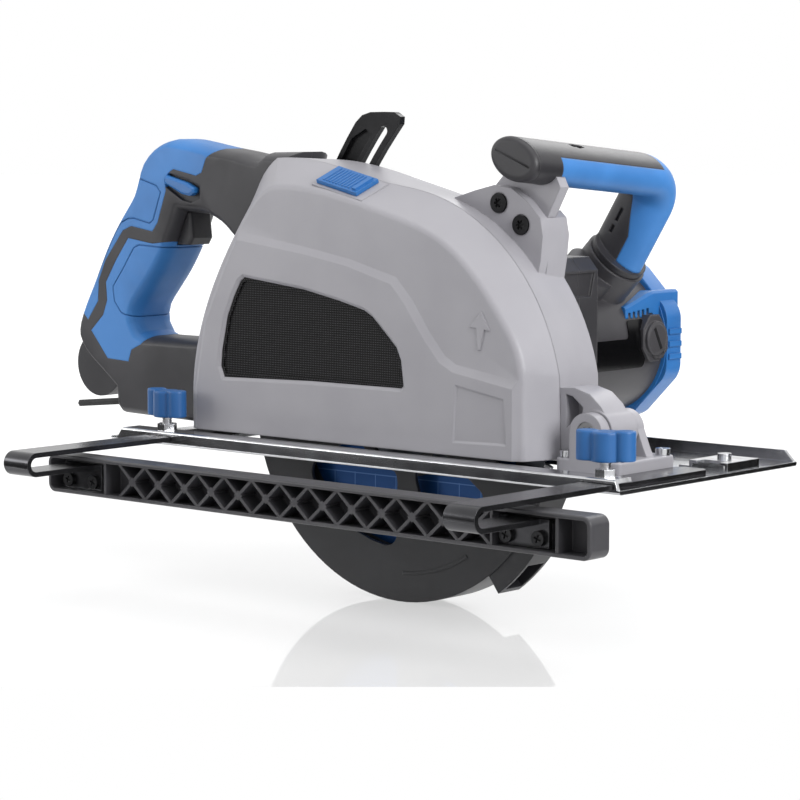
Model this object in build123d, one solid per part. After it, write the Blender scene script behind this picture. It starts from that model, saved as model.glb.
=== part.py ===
from build123d import *
import math
import os

os.makedirs("parts", exist_ok=True)

# ---------------------------------------------------------------- driving sizes (mm)
# X runs along the cut (+X = front), +Y to the motor side, +Z up, z = 0 is the sole.
BLADE_D = 230.0            # nominal blade
BLADE_T = 1.8              # blade plate thickness
BORE_D = 25.4              # blade bore
TEETH = 48
ARBOR_Z = 31.0             # arbor height above the sole: 84 mm of cut with a 230 mm blade
ARB = (0.0, ARBOR_Z)
BLADE_R = BLADE_D / 2
GUARD_R = BLADE_R + 6.0    # outside of the swinging guard
CASE_R = BLADE_R + 19.0    # outside of the fixed guard at the seam
CASE_R2 = BLADE_R + 14.5   # the same at its motor-side wall
SEAM_Y = -20.0             # plane between the debris box and the fixed guard
CASE_Y = 22.0              # motor-side face of the fixed guard
FACE_Y = -48.0             # raised lower field of the debris box
BOX_Y = -46.2              # its upper field, and the outline the shell is drawn to
WALL = 3.0

BASE_Y0, BASE_Y1 = -67.0, 108.0
SHEET = 2.5                # sole plate thickness
LIP_H = 8.5                # height of the rolled edge
LIP_W = 15.0               # width of the folded flange on the near edge
SLOT_X0, SLOT_X1, SLOT_HALF = -GUARD_R - 19.0, CASE_R - 2.5, 17.0

PIV = (CASE_R + 24.0, 27.0)        # depth pivot, clear of the guard's nose
PIV_R = 4.0
EAR_R = 11.7
SWING = 31.0               # degrees of depth travel

QUAD_R0 = 256.0            # inside of the slotted depth arm, measured from the depth pivot
QUAD_R1 = QUAD_R0 + 29.0
SLOT_R, BOLT_R = QUAD_R0 + 7.5, 3.0

# edge-guide arms, rear and front: behind the depth arm's foot, ahead of the hinge casting
ARM_X = (min(PIV[0] - QUAD_R1 - 25.3, SLOT_X0 - 12.3), PIV[0] + 36.8)
BASE_X0, BASE_X1 = ARM_X[0] - 43.7, PIV[0] + 52.0
ARM_W, ARM_T = 21.5, 3.0
ARM_Z0 = SHEET + 0.05
BEND_Y, BEND_R = -178.5, 7.3
TAIL_Y = 25.0
FENCE_Y0, FENCE_Y1 = -138.0, -122.0
FENCE_Z0, FENCE_Z1 = -24.5, -1.0
FENCE_X0, FENCE_X1 = ARM_X[0] - 24.7, ARM_X[1] + 49.7
FENCE_WALL = 2.3
NODES = 13                 # crossings of the lattice between the two pockets
NODE_X0, PITCH = ARM_X[0] + 49.7, (ARM_X[1] - ARM_X[0] - 79.5) / (NODES - 1)
KNOB_Y = -59.5

MOD = 1.25                 # gear module
Z_PIN1, Z_GEAR1, Z_PIN2, Z_GEAR2 = 12, 36, 14, 34
MOT = (27.0, 63.0)         # motor axis
MOT_R = 47.0
CAP_R = 49.5
MOT_END, CAP_Y0, CAP_Y1 = 160.0, 160.0, 180.0
GEAR_Y1 = 60.0             # far side of the gear case

HANDLE_Y0, HANDLE_Y1, HANDLE_MID = -12.0, 28.0, 8.0
RUN = 0.05                 # running clearance on a radius

Y = (0, 1, 0)


# ---------------------------------------------------------------- small helpers
def save(shape, node):
    shape.label = node
    export_step(shape, "parts/" + node + ".step")


def box(x0, x1, y0, y1, z0, z1):
    return Solid.make_box(x1 - x0, y1 - y0, z1 - z0, Plane(origin=(x0, y0, z0)))


def cyl(c, r, y0, y1):
    return Solid.make_cylinder(r, y1 - y0, Plane(origin=(c[0], y0, c[1]), z_dir=Y))


def tube(c, r1, r0, y0, y1):
    return cyl(c, r1, y0, y1) - cyl(c, r0, y0 - 1, y1 + 1)


def rod(p, q, r):
    d = Vector(*q) - Vector(*p)
    return Solid.make_cylinder(r, d.length, Plane(origin=p, z_dir=d))


def post(x, y, r, z0, z1):
    return Solid.make_cylinder(r, z1 - z0, Plane(origin=(x, y, z0)))


def plate(pts, y0, y1):
    f = Face(Wire.make_polygon([(x, y0, z) for x, z in pts], close=True))
    return Solid.extrude(f, Vector(0, y1 - y0, 0))


def slab(pts, z0, z1):
    f = Face(Wire.make_polygon([(x, y, z0) for x, y in pts], close=True))
    return Solid.extrude(f, Vector(0, 0, z1 - z0))


def strip(pts, x0, x1):
    """A profile in the YZ plane pulled along X."""
    f = Face(Wire.make_polygon([(x0, y, z) for y, z in pts], close=True))
    return Solid.extrude(f, Vector(x1 - x0, 0, 0))


def hexagon(c, af, y0, y1):
    r = af / math.sqrt(3)
    pts = [(c[0] + r * math.cos(math.radians(a)), c[1] + r * math.sin(math.radians(a)))
           for a in range(0, 360, 60)]
    return plate(pts, y0, y1)


def hex_post(x, y, af, z0, z1):
    r = af / math.sqrt(3)
    pts = [(x + r * math.cos(math.radians(a)), y + r * math.sin(math.radians(a)))
           for a in range(0, 360, 60)]
    return slab(pts, z0, z1)


def polar(c, r, deg):
    return (c[0] + r * math.cos(math.radians(deg)), c[1] + r * math.sin(math.radians(deg)))


def sector(c, r0, r1, a0, a1, y0, y1, steps=24):
    outer = [polar(c, r1, a0 + (a1 - a0) * i / steps) for i in range(steps + 1)]
    inner = [polar(c, r0, a1 - (a1 - a0) * i / steps) for i in range(steps + 1)]
    return plate(outer + inner, y0, y1)


def inset(pts, d):
    """Move every corner of a closed outline inward by d."""
    n = len(pts)
    area = sum(pts[i][0] * pts[(i + 1) % n][1] - pts[(i + 1) % n][0] * pts[i][1] for i in range(n))
    s = 1 if area > 0 else -1
    out = []
    for i in range(n):
        p, q, r = pts[i - 1], pts[i], pts[(i + 1) % n]
        a = (q[0] - p[0], q[1] - p[1])
        b = (r[0] - q[0], r[1] - q[1])
        la, lb = math.hypot(*a), math.hypot(*b)
        na = (-a[1] / la * s, a[0] / la * s)
        nb = (-b[1] / lb * s, b[0] / lb * s)
        k = 1 + na[0] * nb[0] + na[1] * nb[1]
        out.append((q[0] + d * (na[0] + nb[0]) / k, q[1] + d * (na[1] + nb[1]) / k))
    return out


def one(shape):
    """The single solid of a result, largest piece first."""
    s = sorted(shape.solids(), key=lambda v: v.volume, reverse=True)
    return s[0]


# ---------------------------------------------------------------- outlines of the guard shells
FOOT_Z = 9.5               # lower edge of the shells
GROW = CASE_R / 134.0      # shells, ear and front bar keep their place on the blade circle


def follow(pts):
    return [(x * GROW, FOOT_Z + (z - FOOT_Z) * GROW) for x, z in pts]


# Outline of the debris box's outer face: heel, back, crown, nose (x, z).
BOX_OUT = follow([(-143, FOOT_Z), (-143, 34), (-134, 79), (-117, 114), (-98, 142), (-84, 157),
                  (-70, 164), (-40, 162.5), (0, 155), (34, 146), (61, 136), (80, 123), (95, 108),
                  (110, 90), (119, 77), (124, 60), (124.5, FOOT_Z)])
# The same outline at the seam; the nose follows the blade circle.
SEAM_BACK = follow([(-156, FOOT_Z), (-156, 34), (-147, 79), (-131, 118), (-115, 150), (-104, 170),
                    (-92, 180.5), (-52, 178), (-3, 167)])
SEAM_NOSE = [polar(ARB, CASE_R, a) for a in (76, 61, 50, 40, 30, 21, 11)]
SEAM_OUT = SEAM_BACK + SEAM_NOSE + [(CASE_R - 1, FOOT_Z)]
FAR_NOSE = [polar(ARB, CASE_R2, a) for a in (76, 61, 50, 40, 30, 21, 11)]
FAR_OUT = [(x, z - (1.5 if z > 160 * GROW else 0)) for x, z in SEAM_BACK] + FAR_NOSE
FAR_OUT = FAR_OUT + [(CASE_R2 - 1, FOOT_Z)]


def outline_wire(pts, y):
    """Straight heel and foot, smooth back and crown."""
    v = [Vector(x, y, z) for x, z in pts]
    return Wire([Edge.make_line(v[-1], v[0]), Edge.make_line(v[0], v[1]),
                 Edge.make_spline(v[1:7]), Edge.make_spline(v[6:16]),
                 Edge.make_line(v[15], v[16])])


def shell_loft(a, ya, b, yb):
    return Solid.make_loft([outline_wire(a, ya), outline_wire(b, yb)], ruled=True)


# ================================================================ base group (fixed to the sole)
def base_plate():
    """Pressed sole: folded near edge, raised far edge, blade slot, arm windows."""
    p = [(BASE_Y0, 0), (BASE_Y1, 0), (BASE_Y1, LIP_H + 0.5), (BASE_Y1 - 2.2, LIP_H + 0.5),
         (BASE_Y1 - 2.2, SHEET), (BASE_Y0 + SHEET, SHEET), (BASE_Y0 + SHEET, LIP_H - 2.4),
         (BASE_Y0 + LIP_W, LIP_H - 2.4), (BASE_Y0 + LIP_W, LIP_H), (BASE_Y0, LIP_H)]
    b = strip(p, BASE_X0, BASE_X1)
    long_edges = [e for e in b.edges() if abs(e.tangent_at(0.5).X) > 0.9]
    outer = [e for e in long_edges if (abs(e.center().Y - BASE_Y0) < 0.1) or
             (abs(e.center().Y - BASE_Y1) < 0.1 and e.center().Z < 1)]
    b = b.fillet(1.6, outer)
    slot = box(SLOT_X0, SLOT_X1, -SLOT_HALF, SLOT_HALF, -1, SHEET + 1)
    slot = slot.fillet(5, [e for e in slot.edges() if abs(e.tangent_at(0.5).Z) > 0.9])
    b = b - slot
    for x in ARM_X:
        b = b - box(x - 11.4, x + 11.4, BASE_Y0 - 1, BASE_Y0 + SHEET + 0.01, SHEET, ARM_Z0 + 3.4)
        b = b - post(x, KNOB_Y, 3.0 + RUN, SHEET + 0.5, LIP_H + 1)
    # heel of the folded edge runs out early, its corner cut back
    heel = [(BASE_X0 - 1, SHEET), (BASE_X0 + 6, SHEET), (BASE_X0 + 11, LIP_H + 1),
            (BASE_X0 - 1, LIP_H + 1)]
    b = b - plate(heel, BASE_Y0 - 1, BASE_Y0 + LIP_W + 1)
    toe = [(BASE_X1 + 1, SHEET), (BASE_X1 - 1.5, SHEET), (BASE_X1 - 4, LIP_H + 1),
           (BASE_X1 + 1, LIP_H + 1)]
    b = b - plate(toe, BASE_Y0 - 1, BASE_Y0 + LIP_W + 1)
    far = [(BASE_X1 + 1, SHEET), (BASE_X1 - 1, SHEET), (BASE_X1 - 9, LIP_H + 2),
           (BASE_X1 + 1, LIP_H + 2)]
    b = b - plate(far, BASE_Y1 - 4, BASE_Y1 + 1)
    far = [(2 * (BASE_X0 + BASE_X1) / 2 - x, z) for x, z in far]
    b = b - plate(far, BASE_Y1 - 4, BASE_Y1 + 1)
    for x, y in BRACKET_SCREWS:
        b = b - post(x, y, 2.5, -1, SHEET + 1)
    for x in QUAD_FOOT_X:
        b = b - post(x, QUAD_FOOT_Y, 2.5, -1, SHEET + 1)
    # welded clamp nuts on the folded edge
    for x in ARM_X:
        nut = hex_post(x, KNOB_Y, 11, LIP_H, LIP_H + 4.5) - post(x, KNOB_Y, 3.0 + RUN, LIP_H - 1, 20)
        b = b + nut
    # depth and width marks pressed into the toe
    for i in range(9):
        y = -40 + i * 15
        b = b - box(BASE_X1 - (9 if i % 2 == 0 else 6), BASE_X1 - 2, y - 0.4, y + 0.4, SHEET - 0.4,
                    SHEET + 1)
    return one(b)


BRACKET_SCREWS = [(PIV[0] + dx, y) for dx in (-17.0, 19.0) for y in (-25.0, 18.5)]
BOLT_A = 6.0                           # resting angle of the lock bolt above the pivot
QUAD_Y0, QUAD_Y1 = 24.0, 28.5
QUAD_FOOT_X = (PIV[0] - QUAD_R1 + 8.0, PIV[0] - QUAD_R1 + 23.0)
QUAD_FOOT_Y = 41.0


def arc_pt(r, a):
    """Point at radius r and angle a behind the depth pivot."""
    return (PIV[0] - r * math.cos(math.radians(a)), PIV[1] + r * math.sin(math.radians(a)))


BOLT = arc_pt(SLOT_R, BOLT_A)


def depth_quadrant():
    """Slotted arc that the lock bolt slides in, thinned behind the slot, with its foot."""
    a0 = -math.degrees(math.asin((PIV[1] - SHEET) / QUAD_R1))
    n = 18
    out = [arc_pt(QUAD_R1, a0 + (38.0 - a0) * i / n) for i in range(n + 1)]
    crown = [arc_pt(QUAD_R1 - d, a) for d, a in ((1.5, 39.4), (5.6, 40.6), (13.0, 42.0),
                                                 (20.4, 43.4), (26.0, 43.7), (28.8, 42.9))]
    a1 = -math.degrees(math.asin((PIV[1] - SHEET) / QUAD_R0))
    inn = [arc_pt(QUAD_R0, 41.0 - (41.0 - a1) * i / n) for i in range(n + 1)]
    q = plate(out + crown + inn, QUAD_Y0, QUAD_Y1)
    s0, s1 = BOLT_A, 40.2
    hw = BOLT_R + 0.15
    so = [arc_pt(SLOT_R + hw, s0 + (s1 - s0) * i / n) for i in range(n + 1)]
    si = [arc_pt(SLOT_R - hw, s1 - (s1 - s0) * i / n) for i in range(n + 1)]
    q = q - plate(so + si, QUAD_Y0 - 1, QUAD_Y1 + 1)
    for a in (s0, s1):
        q = q - cyl(arc_pt(SLOT_R, a), hw, QUAD_Y0 - 1, QUAD_Y1 + 1)
    # web behind the slot is pressed thinner from the near side
    wo = [arc_pt(QUAD_R1 - 3.5, 6 + 30.0 * i / n) for i in range(n + 1)]
    wi = [arc_pt(SLOT_R + hw + 3.2, 38.5 - 32.5 * i / n) for i in range(n + 1)]
    q = q - plate(wo + [arc_pt(QUAD_R1 - 9.0, 38.4)] + wi, QUAD_Y0 - 1, QUAD_Y0 + 2.2)
    x0, x1 = QUAD_FOOT_X[0] - 8.5, QUAD_FOOT_X[1] + 8.5
    q = q + box(x0, x1, QUAD_Y0, QUAD_FOOT_Y + 9, SHEET, SHEET + 3)
    for x in (x0 + 0.8, x1 - 3.2):
        q = q + strip([(QUAD_Y1, SHEET + 3), (QUAD_Y1 + 12, SHEET + 3), (QUAD_Y1, SHEET + 15)],
                      x, x + 2.4)
    for x in QUAD_FOOT_X:
        q = q - post(x, QUAD_FOOT_Y, 2.5, SHEET - 1, SHEET + 4)
    return one(q)


def cap_screw(x, y, z_seat, z_tip, r=2.5, head_r=4.4, head_h=4.0):
    """Socket cap screw standing on a seat, its point inside the sole."""
    s = post(x, y, r, z_tip, z_seat + 0.01) + post(x, y, head_r, z_seat, z_seat + head_h)
    return one(s - hex_post(x, y, 4.0, z_seat + 1.4, z_seat + head_h + 1))


SLAB = (PIV[0] - 22.5, PIV[0] + 24.0, -30.0, 24.5)     # hinge casting: x0, x1, y0, y1
SLAB_Z = 12.0
EAR_Y = ((-30.0, -22.3), (3.6, 10.2))


def front_bracket():
    """Hinge casting: slab, two ears with bored eyes, ribs behind the far ear."""
    b = box(SLAB[0], SLAB[1], SLAB[2], SLAB[3], SHEET, SLAB_Z)
    b = b.fillet(4, [e for e in b.edges() if abs(e.tangent_at(0.5).Z) > 0.9])
    b = b.fillet(1.2, [e for e in b.edges() if e.center().Z > SLAB_Z - 0.1])
    for y0, y1 in EAR_Y:
        r = EAR_R
        ear = cyl(PIV, r, y0, y1) + box(PIV[0] - r, PIV[0] + r, y0, y1, SLAB_Z - 1, PIV[1])
        if y0 > 0:
            ear = ear + plate([(PIV[0] + 5, SLAB_Z - 1), (PIV[0] + 19, SLAB_Z - 1),
                               (PIV[0] + 16.5, SLAB_Z + 4), (PIV[0] + 9, PIV[1] + 7)], y0, y1)
        b = b + ear
    b = b - cyl(PIV, PIV_R, SLAB[2] - 1, SLAB[3] + 1)
    b = b - cyl(PIV, PIV_R + 2.6, EAR_Y[0][0] - 1, EAR_Y[0][0] + 2.2)
    b = b + strip([(EAR_Y[1][1] - 0.5, SLAB_Z - 1), (SLAB[3] - 1.5, SLAB_Z - 1),
                   (EAR_Y[1][1] - 0.5, PIV[1] - 5)], PIV[0] - 2, PIV[0] + 2) - cyl(
        PIV, PIV_R, SLAB[2] - 1, EAR_Y[1][1] + 5)
    for x, y in BRACKET_SCREWS:
        b = b - post(x, y, 2.5, SHEET - 1, SLAB_Z + 1)
    return one(b)


def pivot_pin():
    """Headed pin through both ears and the swing arm."""
    p = cyl(PIV, PIV_R, EAR_Y[0][0] + 2.0, EAR_Y[1][1] + 3)
    p = p + cyl(PIV, PIV_R + 2.4, EAR_Y[0][0] + 0.4, EAR_Y[0][0] + 2.2)
    p = p - hexagon(PIV, 4, EAR_Y[0][0] - 1, EAR_Y[0][0] + 3)
    groove = tube(PIV, PIV_R + 1, PIV_R - 0.6, EAR_Y[1][1] + 0.9, EAR_Y[1][1] + 2.0)
    return one(p - groove)


def pivot_clip():
    """Retaining ring in the pin's groove."""
    c = tube(PIV, PIV_R + 2.6, PIV_R - 0.6, EAR_Y[1][1] + 0.9, EAR_Y[1][1] + 1.9)
    return one(c - box(PIV[0] - 1.6, PIV[0] + 1.6, EAR_Y[1][1], EAR_Y[1][1] + 3, PIV[1] - 12, PIV[1]))


CLIP_Y = (38.5, 71.0)


def arm_bridge(x, short_side):
    """Hat-section guide that the arm slides under; one side of the front one has no foot."""
    w, t, z = 11.6, 1.8, ARM_Z0 + ARM_T + 0.45
    a, c = x - w, x + w
    lf, rf = (a - 9, c + 9)
    pts = [(lf, SHEET), (a, SHEET), (a, z), (c, z), (c, SHEET)]
    if short_side:
        pts += [(c + t, SHEET), (c + t, z + t), (a - t, z + t), (a - t, SHEET + t), (lf, SHEET + t)]
    else:
        pts += [(rf, SHEET), (rf, SHEET + t), (c + t, SHEET + t), (c + t, z + t), (a - t, z + t),
                (a - t, SHEET + t), (lf, SHEET + t)]
    b = plate(pts, CLIP_Y[0], CLIP_Y[1])
    b = b - box(x - 8, x + 8, CLIP_Y[0] - 1, CLIP_Y[0] + 7, z - 1, z + t + 1)
    mid = (CLIP_Y[0] + CLIP_Y[1]) / 2
    b = b - post(x - 4, mid + 6, 2.5, z - 1, z + t + 1)
    b = b - box(lf + 2, lf + 5.5, mid - 8, mid + 8, SHEET - 1, SHEET + t + 1)
    return one(b)


def bridge_screw(x):
    """Set screw in the bridge, stopping short of the arm."""
    z = ARM_Z0 + ARM_T + 0.45
    mid = (CLIP_Y[0] + CLIP_Y[1]) / 2
    s = post(x - 4, mid + 6, 2.5, z - 0.3, z + 1.9) + post(x - 4, mid + 6, 4.2, z + 1.8, z + 4.3)
    return one(s - box(x - 9, x + 1, mid + 5.4, mid + 6.6, z + 3.1, z + 5))


# ================================================================ edge guide
def arm(x):
    """Flat strap: tail under the sole's flange, U-bend, return leg and screwed tab."""
    h = ARM_W / 2
    zt = ARM_Z0 + ARM_T
    zc = zt - BEND_R
    top = box(x - h, x + h, BEND_Y, TAIL_Y, ARM_Z0, zt)
    top = top - slab([(x - h - 1, TAIL_Y + 1), (x - h - 1, TAIL_Y - 5), (x - h + 5, TAIL_Y + 1)], 0, 9)
    top = top - slab([(x + h + 1, TAIL_Y + 1), (x + h + 1, TAIL_Y - 5), (x + h - 5, TAIL_Y + 1)], 0, 9)
    pl = Plane(origin=(x - h, BEND_Y, zc), z_dir=(1, 0, 0))
    ring = Solid.make_cylinder(BEND_R, ARM_W, pl) - Solid.make_cylinder(BEND_R - ARM_T, ARM_W, pl)
    ring = ring & box(x - h - 1, x + h + 1, BEND_Y - BEND_R - 1, BEND_Y, zc - 9, zc + 9)
    low = box(x - h, x + h, BEND_Y, TAB_Y0 + ARM_T, zc - BEND_R, zc - BEND_R + ARM_T)
    tab = box(x - 17, x + 17, TAB_Y0, TAB_Y0 + ARM_T, FENCE_Z0 + FENCE_WALL + 0.3,
              zc - BEND_R + ARM_T)
    a = top + ring + low + tab
    for s in (-11, 11):
        a = a - cyl((x + s, TAB_Z), 2.0, TAB_Y0 - 1, TAB_Y0 + ARM_T + 1)
    return one(a)


TAB_Y0 = -131.5
TAB_Z = -16.5


def fence_screw(x, s):
    """Pan-head screw through the tab into the fence's pad."""
    c = (x + s, TAB_Z)
    p = cyl(c, 2.0, TAB_Y0 - 0.01, FENCE_Y1 - 1.2) + cyl(c, 4.2, TAB_Y0 - 2.6, TAB_Y0)
    for a in (0, 90):
        cut = box(c[0] - 2.4, c[0] + 2.4, TAB_Y0 - 3, TAB_Y0 - 1.4, c[1] - 0.5, c[1] + 0.5)
        p = p - cut.rotate(Axis((c[0], 0, c[1]), Y), a + 20)
    return p


def fence_bar():
    """Moulded fence: smooth guide face behind, open X lattice in front, two screw pockets."""
    x0, x1, z0, z1 = FENCE_X0, FENCE_X1, FENCE_Z0, FENCE_Z1
    w = FENCE_WALL
    b = box(x0, x1, FENCE_Y0, FENCE_Y1, z0, z1)
    b = b.fillet(5.5, [e for e in b.edges() if abs(e.tangent_at(0.5).Y) > 0.9])
    b = b.fillet(1.0, [e for e in b.edges() if e.center().Y < FENCE_Y0 + 0.1])
    hollow = box(x0 + w, x1 - w, FENCE_Y0 - 1, FENCE_Y1 - 3, z0 + w, z1 - w)
    hollow = hollow.fillet(3.2, [e for e in hollow.edges() if abs(e.tangent_at(0.5).Y) > 0.9])
    b = b - hollow
    # cross walls that frame the two pockets and the end box
    for x in (POCKET[0][1], POCKET[1][0], POCKET[1][1]):
        b = b + box(x, x + 2.0, FENCE_Y0 + 0.8, FENCE_Y1 - 1, z0 + 1, z1 - 1)
    # pads behind the tabs
    for x in ARM_X:
        b = b + box(x - 17, x + 17, TAB_Y0 + ARM_T, FENCE_Y1 - 1, z0 + 1, z1 - w - 5)
    # lattice of crossing ribs
    lo, hi = z0 + w - 0.4, z1 - w + 0.4
    mid = (lo + hi) / 2
    t = 0.95
    ya, yb = FENCE_Y0 + 0.8, FENCE_Y1 - 2.5
    for i in range(NODES):
        x = NODE_X0 + i * PITCH
        for s in (-1, 1):
            dx = PITCH / 2 * s
            n = math.hypot(PITCH, hi - lo)
            ox, oz = (hi - lo) / n * t, PITCH / n * t * s
            rib = [(x - dx - ox, lo + oz), (x - dx + ox, lo - oz), (x + dx + ox, hi - oz),
                   (x + dx - ox, hi + oz)]
            b = b + plate(rib, ya, yb)
        hub = [(x - 3.2, mid), (x, mid - 3.0), (x + 3.2, mid), (x, mid + 3.0)]
        b = b + plate(hub, ya, yb)
    for x in ARM_X:
        for s in (-11, 11):
            b = b - cyl((x + s, TAB_Z), 2.0, TAB_Y0, FENCE_Y1 - 1.2)
        # keep the room of the arm's tab and return leg free
        b = b - box(x - 17.3, x + 17.3, FENCE_Y0 - 1, TAB_Y0 + ARM_T, z0 + w, ARM_Z0 + ARM_T - 2 *
                    BEND_R + ARM_T + 0.4)
    return one(b)


POCKET = ((FENCE_X0, -127.5), (176.0, 220.5))


def wing_knob(x, turn):
    """Wing knob: waisted hub, two rounded wings, blind bore for the stud."""
    z0, z1 = 17.0, 34.5
    k = post(x, KNOB_Y, 8.6, z0, z1 - 0.6)
    for s in (-1, 1):
        w = post(x + s * 11.2, KNOB_Y, 6.0, z0 + 0.5, z1)
        k = k + w + box(min(x, x + s * 11.2), max(x, x + s * 11.2), KNOB_Y - 4.6, KNOB_Y + 4.6,
                        z0 + 0.5, z1 - 1.0)
    k = k - post(x, KNOB_Y, 3.0, z0 - 1, z0 + 11)
    return one(k).rotate(Axis((x, KNOB_Y, 0), (0, 0, 1)), turn)


def knob_stud(x):
    """Threaded stud moulded into the knob, its flat point just above the arm."""
    s = post(x, KNOB_Y, 3.0, ARM_Z0 + ARM_T + 0.25, 28.0)
    for i in range(4):
        z = 10.2 + i * 1.6
        ring = post(x, KNOB_Y, 3.2, z, z + 0.5) - post(x, KNOB_Y, 2.7, z - 1, z + 1)
        if z > LIP_H + 4.7:
            s = s - ring
    return one(s)


# ================================================================ swinging head: castings
EAR_PLATE_Y = (-3.0, 4.0)
EAR = follow([(36, 150), (38, 158), (53.5, 162.5), (68.5, 166), (81, 164.5), (93, 157), (103, 147),
              (105, 137), (103.5, 122), (100, 108), (60, 140)])
EAR_RIM = follow([(93, 106), (101, 107.5), (103.5, 122), (105, 137), (103, 147), (98.5, 151),
                  (98.5, 136), (93, 118)])
HANDLE_BOLTS = follow([(72.0, 155.4), (88.7, 142.9)])
SWING_ARM = [(CASE_R - 14, 50), (PIV[0] - 16, 51.5), (PIV[0] - 5, 48.5), (PIV[0] + 3, 42),
             (PIV[0] + 8, 35), (PIV[0] + 11, 27), (PIV[0], 15), (PIV[0] - 24, 14.5), (CASE_R - 14, 15)]
SWING_Y = (-21.6, 2.9)
SHELL_BOT = 6.5
BEARING_R, BEARING_Y = 16.0, (9.8, 19.8)
BOSS_R = 22.0


def casting():
    """Fixed guard: deep shell, hinge arm and eye, handle ear, spindle boss, bolt boss."""
    outer = shell_loft(SEAM_OUT, SEAM_Y, FAR_OUT, CASE_Y)
    cav = shell_loft(inset(SEAM_OUT, WALL), SEAM_Y - 0.01, inset(FAR_OUT, WALL), CASE_Y - 3.5)
    arm_ = plate(SWING_ARM, SEAM_Y, SWING_Y[1] - 1.5)
    eye = cyl(PIV, EAR_R + 1.0, SWING_Y[0], SWING_Y[1])
    low = box(SEAM_OUT[0][0] + 6, CASE_R - 6, SEAM_Y - 1, CASE_Y - 3.5, 0, FOOT_Z + 6.5)
    body = outer - cav - low
    body = body - box(CASE_R - 12, CASE_R + 12, SEAM_Y - 1, CASE_Y + 1, 0, SHELL_BOT)
    ear = plate(EAR, EAR_PLATE_Y[0], EAR_PLATE_Y[1])
    rim = plate(EAR_RIM, EAR_PLATE_Y[1], CASE_Y)
    add = (ear + rim + arm_ + eye) - cyl(ARB, CASE_R2 - 6, SEAM_Y - 9, CASE_Y + 9)
    add = add - cav
    body = body + add
    body = body - plate([(PIV[0] + dx, PIV[1] + dz) for dx, dz in (
        (-22, 20.5), (-17, 19.5), (-9.5, 13.5), (-10.5, 8.5), (-17, 4.5), (-21.5, 1))], SWING_Y[0] - 1, -8)
    body = body - cyl(PIV, PIV_R + RUN, -40, 50)
    # ears of the hinge casting need a free ring around the eye
    for y0, y1 in ((-40, SWING_Y[0]), (SWING_Y[1], 50)):
        body = body - cyl(PIV, EAR_R + 5.5, y0, y1)
    boss = tube(ARB, BOSS_R, 14.0, BEARING_Y[0] - 0.8, CASE_Y - 3) - cyl(ARB, BEARING_R,
                                                                       BEARING_Y[0], CASE_Y)
    body = body + boss
    body = body - cyl(ARB, BEARING_R, BEARING_Y[0], CASE_Y + 1)
    body = body - tube(ARB, BOSS_R + 1, BOSS_R - 1.0, *CLIP_GROOVE)
    body = body + (cyl(BOLT, 8.0, 16.6, CASE_Y) & outer)
    body = body - cyl(BOLT, BOLT_R, 10, CASE_Y + 1)
    for c in HANDLE_BOLTS:
        body = body - cyl(c, 2.6, EAR_PLATE_Y[0] - 1, EAR_PLATE_Y[1] + 1)
        body = body - cyl(c, 6.2, EAR_PLATE_Y[0] - 1, EAR_PLATE_Y[0] + 0.6)
    for c in CASE_SCREWS:
        body = body - cyl(c, 2.0, 10, CASE_Y + 1)
    return one(body)


CASE_SCREWS = [(-24.0, 66.0), (60.0, 101.0), (66.0, 22.0), (-24.0, 17.0)]


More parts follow.
